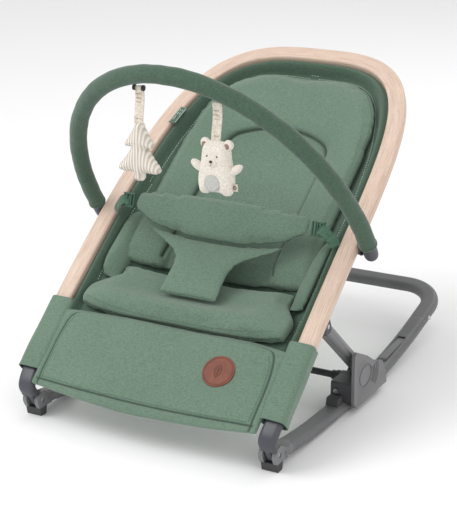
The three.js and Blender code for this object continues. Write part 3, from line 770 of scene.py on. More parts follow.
def hub_details():
    """Grip lines on the outer face of each hub."""
    for label, side in SIDES.items():
        face = 0.2312 * side
        for k in range(4):
            radius = 0.030 + 0.0065 * k
            line = []
            for i in range(17):
                turn = math.radians(-38 + 58 * i / 16)
                y = 0.266 + radius * math.cos(turn)
                line.append(point(face, y, 0.050 + 0.8 * radius * math.sin(turn)))
            rib = sweep(f"hub_line_{label}_{k}", line, ring_section(0.0007, 8), TUBE_GREY,
                        lambda i, p: Vector((1, 0, 0)))
            finish_piece(rib, "base")


# ---------------------------------------------------------------- toy bar
def bar_point(x, rise):
    return point(x, BAR_HINGE[0] + rise * math.cos(BAR_LEAN), BAR_HINGE[1] + rise * math.sin(BAR_LEAN))


def bar_path(count):
    line = []
    for i in range(241):
        angle = i / 240 * math.pi
        power = 2 / BAR_POWER
        x = -math.copysign(abs(math.cos(angle)) ** power, math.cos(angle)) * BAR_X
        line.append(bar_point(x, BAR_FOOT + (BAR_RISE - BAR_FOOT) * max(0.0, math.sin(angle)) ** power))
    return resample(line, count)


BAR_NORMAL = Vector((0, -math.sin(BAR_LEAN), math.cos(BAR_LEAN)))


def toy_bar():
    path = bar_path(220)
    sleeve = sweep("toy_bar_sleeve", path, ring_section(BAR_RADIUS, 40), BAR_CLOTH, lambda i, p: BAR_NORMAL)
    wrinkle(sleeve, 0.018, 0.0007, seed=3.0)
    seam_line = [p - BAR_NORMAL * BAR_RADIUS for p in bar_path(300)]
    seam(sleeve, [seam_line], 0.0010, 0.0016)
    finish_piece(sleeve, "toy_bar", ["bar_sleeve"])
    for label, side in SIDES.items():
        steps = [(-0.0175, 0.55), (-0.0165, 0.75), (-0.0145, 0.88), (-0.011, 0.97),
                 (-0.006, 1.0), (0.009, 1.0), (0.0112, 0.99), (0.0116, 0.95)]
        line = [bar_point(side * BAR_X, rise) for rise, _ in steps]
        sizes = [size for _, size in steps]
        cap = sweep(f"bar_end_{label}", line, ring_section(BAR_RADIUS - 0.0023, 36), SLATE,
                    lambda i, p: BAR_NORMAL, scale_at=lambda t: sizes[round(t * (len(sizes) - 1))])
        finish_piece(cap, "toy_bar", [f"bar_cap_{label}"])
        hem = [bar_point(side * BAR_X, BAR_FOOT + 0.0008), bar_point(side * BAR_X, BAR_FOOT + 0.0042)]
        cuff = sweep(f"bar_hem_{label}", hem, ring_section(BAR_RADIUS + 0.0006, 40), BAR_CLOTH,
                     lambda i, p: BAR_NORMAL)
        finish_piece(cuff, "toy_bar")


# ---------------------------------------------------------------- fabric on the frame
SLEEVE_HEM = -0.1165


def sleeves():
    """Fabric wrapped round the lower rails, with a hem pressed near the lower end."""
    for label, side in SIDES.items():
        x = side * 0.2065
        path = [seat(mix(-0.1235, 0.002, i / 70), x, 0.0075) for i in range(71)]
        section = rounded_section(0.0385, 0.026, 0.0075, 7)
        wrap = sweep(f"sleeve_{label}", path, section, WOVEN, lambda i, p: seat_normal(-0.06), capped=False)
        modify(wrap, "SOLIDIFY", thickness=0.0016, offset=-1)
        apply_modifiers(wrap)
        wrinkle(wrap, 0.03, 0.0011, seed=5.0 + side)
        hem = [seat(SLEEVE_HEM, x + side * dx, 0.0075 + dz) for dx, dz in loop_offsets(0.0385, 0.026)]
        seam(wrap, [hem], 0.0007, 0.0011)
        finish_piece(wrap, "seat", [f"fabric_sleeve_{label}"])


def loop_offsets(width, height):
    outline = rounded_section(width, height, 0.0075, 5)
    return outline + outline[:1]


PANEL_HALF = 0.190


def panel_point(a, b, c):
    """The front panel: its lower hem hangs in a shallow bow, and it swells between its edges."""
    top_edge = -0.006 - 0.010 * abs(a) ** 6
    bottom_edge = -0.160 + 0.014 * a * a
    along = mix(bottom_edge, top_edge, (b + 1) / 2)
    crown = (1 - abs(a) ** 5) * (1 - abs(b) ** 6)
    outer = -0.0045 - 0.0065 * crown + 0.010 * smooth((b - 0.86) / 0.14) * (1 - a**8)
    depth = outer if c > 0 else outer + 0.0075
    return seat(along, a * PANEL_HALF, depth)


def panel_line(points):
    return smooth_line([seat(along, x, -0.008) for along, x in points], 80)


def front_panel():
    panel = slab("front_panel_cover", 130, 60, panel_point, WOVEN)
    modify(panel, "SUBSURF", levels=1, render_levels=1)
    apply_modifiers(panel)
    wrinkle(panel, 0.09, 0.0028, (1.0, 1.6, 1.6), 11.0)
    wrinkle(panel, 0.03, 0.0007, (1.0, 1.3, 1.3), 4.0)
    side_seams = []
    for side in (-1, 1):
        edge = [(-0.155, 0.180), (-0.110, 0.181), (-0.070, 0.181), (-0.045, 0.179), (-0.025, 0.173),
                (-0.013, 0.160), (-0.010, 0.140)]
        side_seams.append(panel_line([(along, side * x) for along, x in edge]))
    top = panel_line([(-0.010, 0.140), (-0.0105, 0.070), (-0.011, 0.0), (-0.0105, -0.070), (-0.010, -0.140)])
    hem = panel_line([(-0.1385, -0.181), (-0.143, -0.1), (-0.145, 0.0), (-0.143, 0.1), (-0.1385, 0.181)])
    for line in side_seams + [top, hem]:
        seam(panel, [on_surface(panel, line)], 0.0022, 0.0021)
    finish_piece(panel, "seat", ["front_panel"])
    hem_points = [(-0.1345, -0.176), (-0.139, -0.1), (-0.141, 0.0), (-0.139, 0.1), (-0.1345, 0.176)]
    hem_thread = panel_line(hem_points)
    thread = stitches("hem_thread", panel, hem_thread, THREAD)
    finish_piece(thread, "seat")
    for label, side in SIDES.items():
        edge = [(-0.132, 0.1755), (-0.090, 0.1765), (-0.050, 0.1745), (-0.028, 0.167)]
        line = panel_line([(along, side * x) for along, x in edge])
        thread = stitches(f"panel_thread_{label}", panel, line, THREAD)
        finish_piece(thread, "seat")
    return panel


def shell_rim(t_count):
    """Points (along, across) of the sling's outer edge, from the left front round the head."""
    flat, _ = hoop_path(HOOP_WIDTH + 0.0015, t_count, SLING_FROM)
    return flat


CORE_TURN = 0.33
CORE_SHARE = 0.35


def seat_shell():
    """The sling inside the hoop, with a rolled edge beside the wood."""
    rim = shell_rim(230)
    shares = [1 - (i / 44) ** 1.7 for i in range(45)]
    verts, faces = [], []
    for along, x in rim:
        core = along if along <= CORE_TURN else CORE_TURN + (along - CORE_TURN) * CORE_SHARE
        length = math.hypot(along - core, x)
        reach = 1 + FLANGE_REACH / length
        verts.append(seat(core + (along - core) * reach, x * reach, FLANGE_DEPTH))
        for s in shares:
            here = mix(core, along, s)
            across = x * s
            edge = (1 - s) * length
            roll = -0.0115 * math.exp(-(((edge - 0.0075) / 0.0052) ** 2))
            tuck = 0.004 * math.exp(-(((edge - ROLL_WIDTH) / 0.0022) ** 2))
            deep = min(sling_depth(here, across), SLING_EDGE + 0.9 * edge)
            verts.append(seat(here, across, deep + roll + tuck))
    width = len(shares) + 1
    for i in range(len(rim) - 1):
        for k in range(width - 1):
            a = i * width + k
            faces.append((a, a + 1, a + width + 1, a + width))
    shell = make("seat_sling", verts, faces, SHELL)
    modify(shell, "WELD", merge_threshold=0.0002)
    modify(shell, "SOLIDIFY", thickness=0.0022, offset=-1)
    apply_modifiers(shell)
    wrinkle(shell, 0.05, 0.0010, seed=9.0)
    stitch_rows = [seat(a, x, sling_depth(a, x)) for a, x in hoop_path(HOOP_WIDTH + 0.0175, 200, 0.02)[0]]
    seam(shell, [stitch_rows], 0.0006, 0.0015)
    finish_piece(shell, "seat", ["seat_shell"])
    line = [seat(a, x, sling_depth(a, x) - 0.004) for a, x in hoop_path(HOOP_WIDTH + 0.0205, 200, 0.03)[0]]
    thread = stitches("sling_thread", shell, line, PALE_THREAD, 0.005, 0.003, 0.0004)
    finish_piece(thread, "seat")
    return shell


# ---------------------------------------------------------------- pads
PAD_FRONT = -0.012
PAD_BACK = 0.104


def pad_half(along):
    return mix(0.176, 0.150, smooth((along - 0.035) / 0.050))


def pad_along(a, b):
    front = PAD_FRONT + 0.018 * abs(a) ** 3.5
    return mix(front, PAD_BACK, (b + 1) / 2)


def pad_thick(along):
    """Thicker in front, thinner where the crotch strap is rooted."""
    return 0.020 + 0.018 * smooth((along + 0.006) / 0.020) * smooth((0.100 - along) / 0.045)


def pad_point(a, b, c):
    along = pad_along(a, b)
    x = a * pad_half(along)
    floor = sling_depth(max(along, 0.0), x) - 0.006
    thick = pad_thick(along) * (0.5 + 0.5 * (1 - a**8)) * (0.75 + 0.25 * (1 - b**6))
    return seat(along, x, floor - thick if c > 0 else floor)


def seat_pad_base():
    pad = slab("seat_cushion", 60, 24, pad_point, JERSEY)
    return remesh(pad, 0.0045)


def seat_pad_details(pad):
    for level, depth, width in ((0.0065, 0.0016, 0.0014), (0.0125, 0.0030, 0.0018)):
        line = []
        for i in range(61):
            a = mix(-0.97, 0.97, i / 60)
            along = pad_along(a, -1)
            top = pad_point(a, -1, 1)
            line.append(top - seat_normal(along) * level + Vector((0, -0.004, 0)))
        seam(pad, [on_surface(pad, line)], depth, width)
    lip = [on_surface(pad, [pad_point(mix(-0.93, 0.93, i / 60), -0.86, 1)])[0] for i in range(61)]
    finish_piece(pad, "seat", ["seat_pad"])
    thread = stitches("pad_thread", pad, lip, THREAD, 0.005, 0.0032, 0.0004)
    finish_piece(thread, "seat")


BACK_FROM = 0.108
BACK_TO = 0.538
BACK_HALF = 0.166
BACK_BEND = 0.300
BACK_RISE = 0.241
ARCH_TOP = 0.415
ARCH_HALF = 0.089


def back_half(along):
    rise = max(0.0, along - BACK_BEND) / BACK_RISE
    square = BACK_HALF * max(0.0, 1 - rise**3.7) ** (1 / 2.7)
    return min(square, inside_half(along) - 0.012)


def arch_line():
    """The sewn arch between the back panel and the head cushion, as (along, across) of its right half."""
    return [(0.125, 0.093), (0.200, 0.092), (0.290, 0.091), (0.350, 0.090), (0.385, 0.083), (0.402, 0.060),
            (0.412, 0.030), (ARCH_TOP, 0.0)]


def inside_arch(along, x):
    """1 inside the arch, 0 outside."""
    top = ARCH_TOP - 0.028 * (abs(x) / 0.09) ** 2
    return smooth((top - along) / 0.014 + 0.5) * smooth((ARCH_HALF + 0.005 - abs(x)) / 0.012 + 0.5)


def back_point(a, b, c):
    along = mix(BACK_FROM, BACK_TO, (b + 1) / 2)
    x = a * back_half(along)
    floor = sling_depth(along, x) - 0.003
    lean = 0.55 + 0.45 * (1 - abs(a) ** 6) * (1 - max(0.0, b) ** 8)
    thick = mix(0.0195, 0.0095, inside_arch(along, x)) * lean
    return seat(along, x, floor - thick if c > 0 else floor)


def back_cushion_base():
    pad = slab("back_padding", 70, 80, back_point, JERSEY)
    return remesh(pad, 0.005)


def back_cushion_details(pad):
    right = [seat(a, x, 0.026) for a, x in arch_line()]
    left = [Vector((-p.x, p.y, p.z)) for p in right]
    arch = smooth_line(left + list(reversed(right[:-1])), 160)
    seam(pad, [on_surface(pad, arch)], 0.0050, 0.0034)
    finish_piece(pad, "seat", ["back_cushion"])
    edge = []
    for i in range(141):
        along = mix(0.20, BACK_TO - 0.004, smooth(min(1.0, (i if i <= 70 else 140 - i) / 70)))
        side = -1 if i <= 70 else 1
        x = side * (back_half(along) - 0.006)
        edge.append(seat(along, x, sling_depth(along, x) - 0.022))
    thread = stitches("back_thread", pad, edge, THREAD, 0.005, 0.0032, 0.0004)
    finish_piece(thread, "seat")


def wing_base(side):
    """The leaf-shaped side wall between the seat pad and the rail."""
    def place(a, b, c):
        along = mix(0.066, 0.206, (b + 1) / 2)
        leaf = max(0.05, 1 - abs(b) ** 5)
        across = 0.1635 + 0.0125 * a
        depth = 0.026 + 0.004 * b - 0.017 * a * leaf
        swell = (0.0035 + 0.0035 * (1 - a * a)) * leaf + 0.0012
        normal = Vector((-side * 0.88, 0, 0)) + seat_normal(along) * 0.48
        return seat(along, side * across, depth) + normal * swell * c
    label = "right" if side > 0 else "left"
    flap = slab(f"side_wing_{label}", 22, 50, place, JERSEY)
    return remesh(flap, 0.0035, 3)


# ---------------------------------------------------------------- belt
BELT_ROOT = (0.118, 0.185)
BELT_LOW = (0.205, 0.245)
BELT_HIGH = (0.237, 0.318)
BELT_HALF = 0.154


def wing_edge(a):
    """Lower and upper edge of the waist belt, as y and z."""
    low = (BELT_LOW[0] + 0.006 * a**8, BELT_LOW[1] + 0.024 * a * a + 0.014 * a**8)
    high = (BELT_HIGH[0] - 0.002 * a * a, BELT_HIGH[1] - 0.012 * a * a - 0.006 * a**8)
    return low, high


def belt_point(a, b, c):
    low, high = wing_edge(a)
    taper = 1 - 0.10 * abs(a) ** 8
    t = 0.5 + 0.5 * b * taper
    slope = math.atan2(high[1] - low[1], high[0] - low[0])
    bulge = 0.004 * (1 - b * b) * (1 - a**4)
    push = 0.0038 * c * (1 - 0.5 * abs(b)) + bulge
    y = mix(low[0], high[0], t) - push * math.sin(slope)
    z = mix(low[1], high[1], t) + push * math.cos(slope)
    return point(a * BELT_HALF, y, z)


def belt_base():
    return remesh(slab("waist_belt", 60, 20, belt_point, WOVEN), 0.0042)


def strap_point(a, b, c):
    t = (b + 1) / 2
    flare = max(0.0, (t - 0.45) / 0.55) ** 2.4
    x = a * (0.0505 + 0.004 * t + 0.074 * flare)
    share = x / BELT_HALF
    top = (BELT_LOW[0] + 0.004, BELT_LOW[1] + 0.004 + 0.024 * share**2)
    sag = 0.004 * math.sin(math.pi * t)
    y = mix(BELT_ROOT[0] - 0.002, top[0], t)
    z = mix(BELT_ROOT[1] + 0.002, top[1], t)
    slope = math.atan2(top[1] - BELT_ROOT[1], top[0] - BELT_ROOT[0])
    push = 0.0032 * c * (1 - 0.45 * a**6) + sag - 0.003 * t * t
    return point(x, y - push * math.sin(slope), z + push * math.cos(slope))


def strap_base():
    return remesh(slab("crotch_strap_pad", 50, 34, strap_point, WOVEN), 0.0035)


def belt_details(belt, strap):
    lower = [belt_point(mix(-0.96, 0.96, i / 60), -0.93, 1) for i in range(61)]
    seam(belt, [on_surface(belt, lower)], 0.0014, 0.0016)
    wrinkle(belt, 0.045, 0.0012, (1.0, 1.5, 1.5), 2.0)
    finish_piece(belt, "belt", ["belt_wing"])
    finish_piece(strap, "belt", ["crotch_strap"])
    root = [strap_point(mix(-0.9, 0.9, i / 30), -0.93, 1) for i in range(31)]
    for name, obj, line in (("belt_thread", belt, [belt_point(mix(-0.93, 0.93, i / 60), -0.8, 1)
                                                   for i in range(61)]), ("strap_thread", strap, root)):
        finish_piece(stitches(name, obj, line, THREAD), "belt")


BUCKLE_Y = 0.223
BUCKLE_Z = 0.291
WEB_UP = Vector((0, 0.30, 0.95)).normalized()
WEB_OUT = Vector((0, -0.95, 0.30)).normalized()


def bar_piece(name, start, end, width, thick, material):
    """A rounded bar between two points, its thickness along the web's outward direction."""
    section = rounded_section(width, thick, min(width, thick) * 0.42, 4)
    return sweep(name, resample([start, end], 4), section, material, lambda i, p: WEB_OUT)


def join(name, pieces):
    """One object from several."""
    verts, faces = [], []
    for piece in pieces:
        start = len(verts)
        verts += [v.co.copy() for v in piece.data.vertices]
        faces += [tuple(start + i for i in p.vertices) for p in piece.data.polygons]
    made = make(name, verts, faces, pieces[0].data.materials[0])
    for piece in pieces:
        bpy.data.objects.remove(piece)
    made.data.set_sharp_from_angle(angle=math.radians(50))
    return made


def ladder(name, inner, outer, bars, side):
    """A ladder-lock slider: two cheeks and the bars between them, which the web runs over."""
    middle_point = point(0, BUCKLE_Y, BUCKLE_Z)
    parts = []
    for edge in (-1, 1):
        offset = WEB_UP * edge * 0.0102
        start = middle_point + Vector((side * inner, 0, 0)) + offset
        end = middle_point + Vector((side * outer, 0, 0)) + offset
        parts.append(bar_piece("cheek", start, end, 0.0026, 0.0058, GREEN_PLASTIC))
    for k in range(bars):
        x = side * mix(inner + 0.0013, outer - 0.0013, k / (bars - 1))
        start = middle_point + Vector((x, 0, 0)) - WEB_UP * 0.0102
        end = middle_point + Vector((x, 0, 0)) + WEB_UP * 0.0102
        parts.append(bar_piece("rung", start, end, 0.0026, 0.0046 + 0.001 * (k % 2), GREEN_PLASTIC))
    return join(name, parts)


def buckles():
    for label, side in SIDES.items():
        tongue = ladder(f"buckle_tongue_piece_{label}", BELT_HALF + 0.0012, BELT_HALF + 0.0092, 2, side)
        finish_piece(tongue, "belt", [f"buckle_tongue_{label}"])
        socket = ladder(f"buckle_slider_{label}", BELT_HALF + 0.0096, BELT_HALF + 0.0220, 3, side)
        finish_piece(socket, "seat", [f"buckle_socket_{label}"])
        centre = point(0, BUCKLE_Y, BUCKLE_Z)
        line = [centre + Vector((side * 0.1665, 0, 0)) - WEB_OUT * 0.0002,
                centre + Vector((side * 0.1745, 0, 0)) + WEB_OUT * 0.0034,
                centre + Vector((side * 0.1815, 0, -0.006)) + WEB_OUT * 0.0030,
                point(side * 0.1885, BUCKLE_Y + 0.001, BUCKLE_Z - 0.0135),
                point(side * 0.1925, BUCKLE_Y + 0.002, BUCKLE_Z - 0.024)]
        web_section = rounded_section(0.017, 0.0016, 0.0007, 3)
        web = sweep(f"web_loop_{label}", smooth_line(line, 40), web_section, WEBBING,
                    lambda i, p: WEB_OUT + Vector((side * 0.5, 0, 0.3)))
        finish_piece(web, "seat", [f"web_strap_{label}"])


# ---------------------------------------------------------------- patch and label
def disc_piece(name, centre, normal, radius, thick, material, rings=10, segments=64):
    """A round patch with a soft edge, its face towards the normal."""
    across = Vector((1, 0, 0))
    up = normal.cross(across)
    profile = [(0.0, thick)] + [(radius * (k + 1) / rings, thick) for k in range(rings - 1)]
    profile += [(radius * 0.985, thick * 0.93), (radius, thick * 0.6), (radius, 0.0)]
    verts = [centre + normal * thick]
    faces = []
    for r, h in profile[1:]:
        for i in range(segments):
            turn = 2 * math.pi * i / segments
            verts.append(centre + (across * math.cos(turn) + up * math.sin(turn)) * r + normal * h)
    for i in range(segments):
        faces.append((0, 1 + i, 1 + (i + 1) % segments))
    for k in range(len(profile) - 2):
        for i in range(segments):
            a = 1 + k * segments + i
            b = 1 + k * segments + (i + 1) % segments
            faces.append((a, a + segments, b + segments, b))
    last = 1 + (len(profile) - 2) * segments
    faces.append(tuple(last + i for i in reversed(range(segments))))
    return make(name, verts, faces, material)


PATCH_ALONG = -0.070
PATCH_X = 0.103


def leather_patch(panel):
    along = PATCH_ALONG
    normal = seat_normal(along)
    spot = on_surface(panel, [seat(along, PATCH_X, -0.012)])[0]
    centre = spot - normal * 0.0012
    patch = disc_piece("round_patch", centre, normal, 0.0252, 0.0026, LEATHER, 24, 96)
    up = normal.cross(Vector((1, 0, 0)))
    face = centre + normal * 0.0026

    def ring(radius, from_turn=0.0, to_turn=2 * math.pi, count=64, shift=(0, 0)):
        turns = [mix(from_turn, to_turn, i / count) for i in range(count + 1)]
        across = Vector((1, 0, 0))
        return [face + across * (radius * math.cos(t) + shift[0])
                + up * (radius * math.sin(t) + shift[1]) for t in turns]

    leaf = [ring(0.0135, math.radians(-48), math.radians(48), 16, (-0.0089, 0)),
            ring(0.0135, math.radians(132), math.radians(228), 16, (0.0089, 0)),
            [face - up * 0.0100, face + up * 0.0055]]
    seam(patch, [ring(0.0222)], 0.0006, 0.0007)
    seam(patch, leaf, 0.0007, 0.0009)
    finish_piece(patch, "seat", ["leather_patch"])
    thread = stitches("patch_thread", patch, ring(0.0222), LEATHER, 0.003, 0.002, 0.00035)
    finish_piece(thread, "seat")


def side_label():
    """A small folded tag sewn into the sling's edge, with plain bars in place of words."""
    along = 0.390
    inner = inside_half(along) - 0.004
    tilt = math.atan2(inside_half(0.409) - inside_half(0.371), 0.038)
    centre = seat(along, -inner, -0.0042)
    ahead = (seat(0.40, 0) - seat(0.38, 0)).normalized()
    direction = (ahead * math.cos(tilt) - Vector((1, 0, 0)) * math.sin(tilt)).normalized()
    normal = seat_normal(along)
    path = [centre + direction * mix(-0.019, 0.019, i / 12) for i in range(13)]
    tag = sweep("side_tag", path, rounded_section(0.0135, 0.0014, 0.0005, 3), SHELL, lambda i, p: normal)
    finish_piece(tag, "seat")
    sideways = direction.cross(normal)
    rows = []
    for k in range(2):
        offset = sideways * (0.0022 * (2 * k - 1)) + normal * 0.0008
        for a, b in ((-0.012, -0.002), (0.001, 0.006), (0.009, 0.013))[k:]:
            start = centre + offset + direction * a
            end = centre + offset + direction * b
            rows.append(bar_piece("bar", start, end, 0.0011, 0.0007, PALE_THREAD))
    frame_line = [centre + normal * 0.0006 + direction * u * 0.0172 + sideways * v * 0.0055
                  for u, v in ((-1, -1), (1, -1), (1, 1), (-1, 1))]
    rim = sweep("rim", frame_line, ring_section(0.0005, 8), PALE_THREAD, lambda i, p: normal, closed=True)
    finish_piece(join("side_tag_bars", rows + [rim]), "seat")


# ---------------------------------------------------------------- toys
def closed_outline(half, count):
    """A mirrored closed outline, rounded, in the plane of the toy: x across and z up."""
    points = [Vector((x, 0, z)) for x, z in half] + [Vector((-x, 0, z)) for x, z in reversed(half)]
    looped = points[-2:] + points + points[:3]
    rounded = []
    for a, b, c, d in zip(looped, looped[1:], looped[2:], looped[3:]):
        for i in range(10):
            t = i / 10
            rounded.append(0.5 * (2 * b + (c - a) * t + (2 * a - 5 * b + 4 * c - d) * t * t
                                  + (3 * b - a - 3 * c + d) * t**3))
    start = rounded[:10 * len(points)]
    return resample(start + start[:1], count)[:-1]


def stuffed(name, outline, centre, thickness, reach, material, spacing=0.0022):
    """A stuffed shape: an outline filled so that its thickness grows from the seam inwards."""
    flat = [Vector((p.x, p.z)) for p in outline]
    xs = [p.x for p in flat]
    zs = [p.y for p in flat]
    inner = []
    for i in range(int((max(xs) - min(xs)) / spacing) + 1):
        for j in range(int((max(zs) - min(zs)) / spacing) + 1):
            shift = 0.5 * spacing * (j % 2)
            inner.append(Vector((min(xs) + i * spacing + shift, min(zs) + j * spacing)))
    edges = [(i, (i + 1) % len(flat)) for i in range(len(flat))]
    border = np.array([tuple(p) for p in flat])
    far = []
    for p in inner:
        if edge_distance(np.array([tuple(p)]), border)[0] > spacing * 0.6:
            far.append(p)
    verts, _, tris, _, _, _ = geometry.delaunay_2d_cdt(flat + far, edges, [], 1, 1e-7)
    away = edge_distance(np.array([tuple(v) for v in verts]), border)
    height = 0.5 * thickness * np.sqrt(1 - (1 - np.clip(away / reach, 0, 1)) ** 2)
    on_rim = away < 1e-5
    points = [Vector((v.x, -h, v.y)) + centre for v, h in zip(verts, height)]
    back_index = {}
    for i, (v, h) in enumerate(zip(verts, height)):
        if on_rim[i]:
            back_index[i] = i
        else:
            back_index[i] = len(points)
            points.append(Vector((v.x, h, v.y)) + centre)
    faces = [tuple(t) for t in tris] + [tuple(back_index[i] for i in reversed(t)) for t in tris]
    return make(name, points, faces, material)


def edge_distance(points, border):
    best = np.full(len(points), 1.0)
    for a, b in zip(border, np.roll(border, -1, axis=0)):
        step = b - a
        share = np.clip(((points - a) @ step) / max(1e-12, step @ step), 0, 1)
        best = np.minimum(best, np.linalg.norm(points - (a + share[:, None] * step), axis=1))
    return best


def ribbon(name, node, body, snaps):
    """A toy's loop of ribbon with crosswise stitch marks, and its snap fasteners."""
    low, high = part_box(node)
    centre = (low + high) / 2
    sway = 0.0016
    path = [Vector((centre.x + sway * math.sin(4.2 * t), centre.y + sway * 0.6 * math.cos(5 * t),
                    mix(high.z + 0.0035, low.z - 0.004, t))) for t in [i / 40 for i in range(41)]]
    strip = sweep(name, path, rounded_section(0.0148, 0.0022, 0.0008, 3), RIBBON,
                  lambda i, p: Vector((0, -1, 0)))
    finish_piece(strip, body, [node])
    marks = []
    for k in range(7):
        z = mix(high.z - 0.008, low.z + 0.004, k / 6)
        marks.append(bar_piece("mark", Vector((centre.x - 0.0042, low.y - 0.0004, z)),
                               Vector((centre.x + 0.0042, low.y - 0.0004, z)), 0.0007, 0.0006, EAR_BROWN))
    finish_piece(join(f"{name}_marks", marks), body)
    for k in snaps:
        spot = Vector((centre.x + k * 0.0088, centre.y, high.z + 0.0005))
        label = "right" if k > 0 else "left"
        snap = sweep(f"{name}_snap_{label}", [spot + Vector((-0.003 * k, 0, 0)), spot],
                     ring_section(0.0042, 24), RUBBER, lift_up)
        finish_piece(snap, body)


def tree_toy():
    low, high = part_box("tree_toy")
    half = [(0.000, 0.000), (0.0045, -0.001), (0.009, -0.010), (0.0165, -0.022),
            (0.0235, -0.0315), (0.0215, -0.0365), (0.0140, -0.0370), (0.0130, -0.0385),
            (0.0225, -0.0520), (0.0325, -0.0640), (0.0335, -0.0700),
            (0.0285, -0.0735), (0.0160, -0.0735), (0.0072, -0.0745), (0.0068, -0.0850), (0.0, -0.0862)]
    centre = Vector(((low.x + high.x) / 2, (low.y + high.y) / 2, high.z))
    outline = closed_outline(half[1:-1], 150)
    tree = stuffed("tree_plush", outline, centre, 0.025, 0.014, corduroy_material(), 0.0016)
    modify(tree, "SUBSURF", levels=1, render_levels=1)
    apply_modifiers(tree)
    co = coordinates(tree)
    cords = np.cos(co[:, 0] * CORD_PER_METRE * 2 * math.pi)
    set_coordinates(tree, co + pad_normals(tree) * (0.0006 * cords)[:, None])
    finish_piece(tree, "tree", ["tree_toy"])
    ribbon("tree_loop", "tree_ribbon", "tree", (-1, 1))


def bear_toy():
    low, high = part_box("bear_toy")
    centre = Vector(((low.x + high.x) / 2, (low.y + high.y) / 2, high.z - 0.002))
    body_half = [(0.000, -0.0015), (0.010, -0.002), (0.018, -0.006), (0.0215, -0.015), (0.0230, -0.028),
                 (0.0265, -0.045), (0.0280, -0.062), (0.0245, -0.0765), (0.0165, -0.0800), (0.0085, -0.0770),
                 (0.0, -0.0745)]
    outline = closed_outline(body_half[1:-1], 130)
    parts = [stuffed("bear_body", outline, centre, 0.029, 0.017, PLUSH, 0.002)]
    finish_piece(parts[0], "bear", ["bear_toy"])
    for side in (-1, 1):
        label = "right" if side > 0 else "left"
        arm = oval_piece(f"bear_arm_{label}", centre + Vector((side * 0.0300, 0, -0.0405)),
                         0.0125, 0.0062, side * math.radians(-34), 0.0135, PLUSH)
        ear = oval_piece(f"bear_ear_{label}", centre + Vector((side * 0.0185, 0.001, -0.0065)),
                         0.0078, 0.0076, 0.0, 0.0110, PLUSH)
        inner = oval_piece(f"bear_ear_inside_{label}", centre + Vector((side * 0.0178, -0.0048, -0.0078)),
                           0.0040, 0.0042, 0.0, 0.0030, EAR_BROWN)
        eye = oval_piece(f"bear_eye_{label}", centre + Vector((side * 0.0078, -0.0146, -0.0212)),
                         0.0012, 0.0013, 0.0, 0.0016, NOSE_THREAD)
        for piece in (arm, ear, inner, eye):
            finish_piece(piece, "bear")
    belly = oval_piece("bear_belly", centre + Vector((0, -0.0143, -0.0600)),
                       0.0128, 0.0130, 0.0, 0.0034, BELLY)
    muzzle = oval_piece("bear_muzzle", centre + Vector((0, -0.0145, -0.0300)),
                        0.0078, 0.0066, 0.0, 0.0052, PLUSH)
    nose = oval_piece("bear_nose", centre + Vector((0, -0.0178, -0.0283)),
                      0.0027, 0.0020, 0.0, 0.0022, NOSE_THREAD)
    mouth = bar_piece("bear_mouth", centre + Vector((0, -0.0172, -0.0300)),
                      centre + Vector((0, -0.0172, -0.0345)), 0.0006, 0.0007, NOSE_THREAD)
    tag_ends = [centre + Vector((0.0255, -0.001, -0.0660)), centre + Vector((0.0345, -0.002, -0.0655))]
    tag = sweep("bear_tag", tag_ends, rounded_section(0.0105, 0.0010, 0.0004, 3), RIBBON,
                lambda i, p: Vector((0, -1, 0)))
    for piece in (belly, muzzle, nose, mouth, tag):
        finish_piece(piece, "bear")
    ring_line = [centre + Vector((0.0302 + 0.0022 * math.cos(t), -0.0029, -0.0656 + 0.0022 * math.sin(t)))
                 for t in [2 * math.pi * i / 20 for i in range(20)]]
    mark = sweep("bear_tag_ring", ring_line, ring_section(0.0005, 8), NOSE_THREAD,
                 lambda i, p: Vector((0, -1, 0)), closed=True)
    finish_piece(mark, "bear")
    ribbon("bear_loop", "bear_ribbon", "bear", ())


def oval_piece(name, centre, wide, tall, turn, thick, material):
    """A small stuffed oval facing the front."""
    turns = [2 * math.pi * i / 40 for i in range(40)]
    outline = []
    for t in turns:
        x, z = wide * math.cos(t), tall * math.sin(t)
        turned_x = x * math.cos(turn) + z * math.sin(turn)
        turned_z = z * math.cos(turn) - x * math.sin(turn)
        outline.append(Vector((turned_x, 0, turned_z)))
    outline.reverse()
    return stuffed(name, outline, centre, thick, min(wide, tall), material, min(wide, tall) / 5)


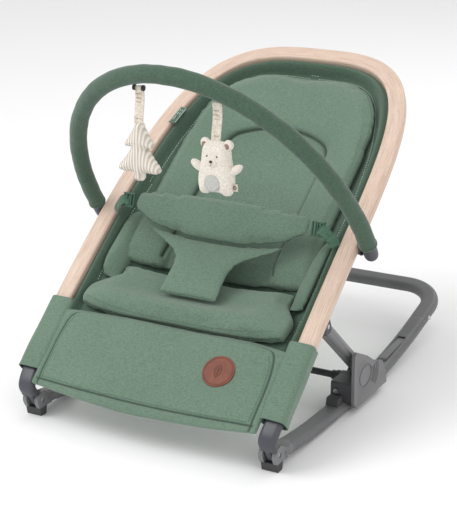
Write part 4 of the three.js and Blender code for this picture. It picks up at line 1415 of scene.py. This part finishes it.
# ---------------------------------------------------------------- scene
def stage_and_camera():
    curve = []
    for i in range(25):
        turn = i / 24 * math.pi / 2
        curve.append((6.0 + 1.5 * math.sin(turn), FLOOR - 0.0006 + 1.5 * (1 - math.cos(turn))))
    profile = [(-6.0, FLOOR - 0.0006)] + curve + [(7.5, 7.0)]
    verts = [Vector((x, y, z)) for y, z in profile for x in (-12.0, 12.0)]
    faces = [(2 * i, 2 * i + 1, 2 * i + 3, 2 * i + 2) for i in range(len(profile) - 1)]
    plain = Shader("plain_floor", 0.9)
    plain.bsdf.inputs["Base Color"].default_value = (0.94, 0.94, 0.94, 1)
    make("floor", verts, faces, plain.material)
    bpy.context.scene.view_settings.view_transform = "Standard"
    world = bpy.data.worlds.new("studio")
    bpy.context.scene.world = world
    world.use_nodes = True
    world.node_tree.nodes["Background"].inputs["Color"].default_value = (1, 1, 1, 1)
    world.node_tree.nodes["Background"].inputs["Strength"].default_value = 0.82
    for name, place, size, energy in (
        ("key", (-1.4, -1.6, 2.6), 1.8, 42.0),
        ("fill", (2.4, -1.2, 1.6), 2.0, 10.0),
        ("back", (0.5, 2.6, 2.2), 1.6, 14.0),
    ):
        light = bpy.data.lights.new(name, "AREA")
        light.energy = energy
        light.size = size
        obj = bpy.data.objects.new(name, light)
        obj.location = place
        aim = Vector((0, 0, 0.25)) - Vector(place)
        obj.rotation_euler = aim.to_track_quat("-Z", "Y").to_euler()
        bpy.context.scene.collection.objects.link(obj)
    camera = bpy.data.cameras.new("camera")
    camera.lens = CAMERA_LENS
    view = bpy.data.objects.new("camera", camera)
    view.location = CAMERA_PLACE
    view.rotation_euler = (math.radians(90 - CAMERA_DOWN), 0, math.radians(CAMERA_TURN))
    bpy.context.scene.collection.objects.link(view)
    bpy.context.scene.camera = view


CAMERA_LENS = 104.65
CAMERA_PLACE = (1.0702, -2.03878, 0.9517)
CAMERA_DOWN = 18.3
CAMERA_TURN = 28.6


dress_cad_nodes()
wood_hoop()
rocker_rails()
rear_tube()
leg_tubes()
hub_details()
toy_bar()
sleeves()
cover = front_panel()
seat_shell()

cushion = seat_pad_base()
back = back_cushion_base()
wings = {side: wing_base(side) for side in SIDES.values()}
belt = belt_base()
strap = strap_base()
puff([(cushion, 4.0, 0.006), (back, 4.0, 0.006), (wings[-1], 4.0, 0.005), (wings[1], 4.0, 0.005),
      (belt, 4.0, 0.006), (strap, 4.0, 0.003)])
for pad in (cushion, back, wings[-1], wings[1], belt, strap):
    refine(pad)
seat_pad_details(cushion)
back_cushion_details(back)
for label, side in SIDES.items():
    finish_piece(wings[side], "seat", [f"side_bolster_{label}"])
belt_details(belt, strap)
buckles()
leather_patch(cover)
side_label()
tree_toy()
bear_toy()
stage_and_camera()
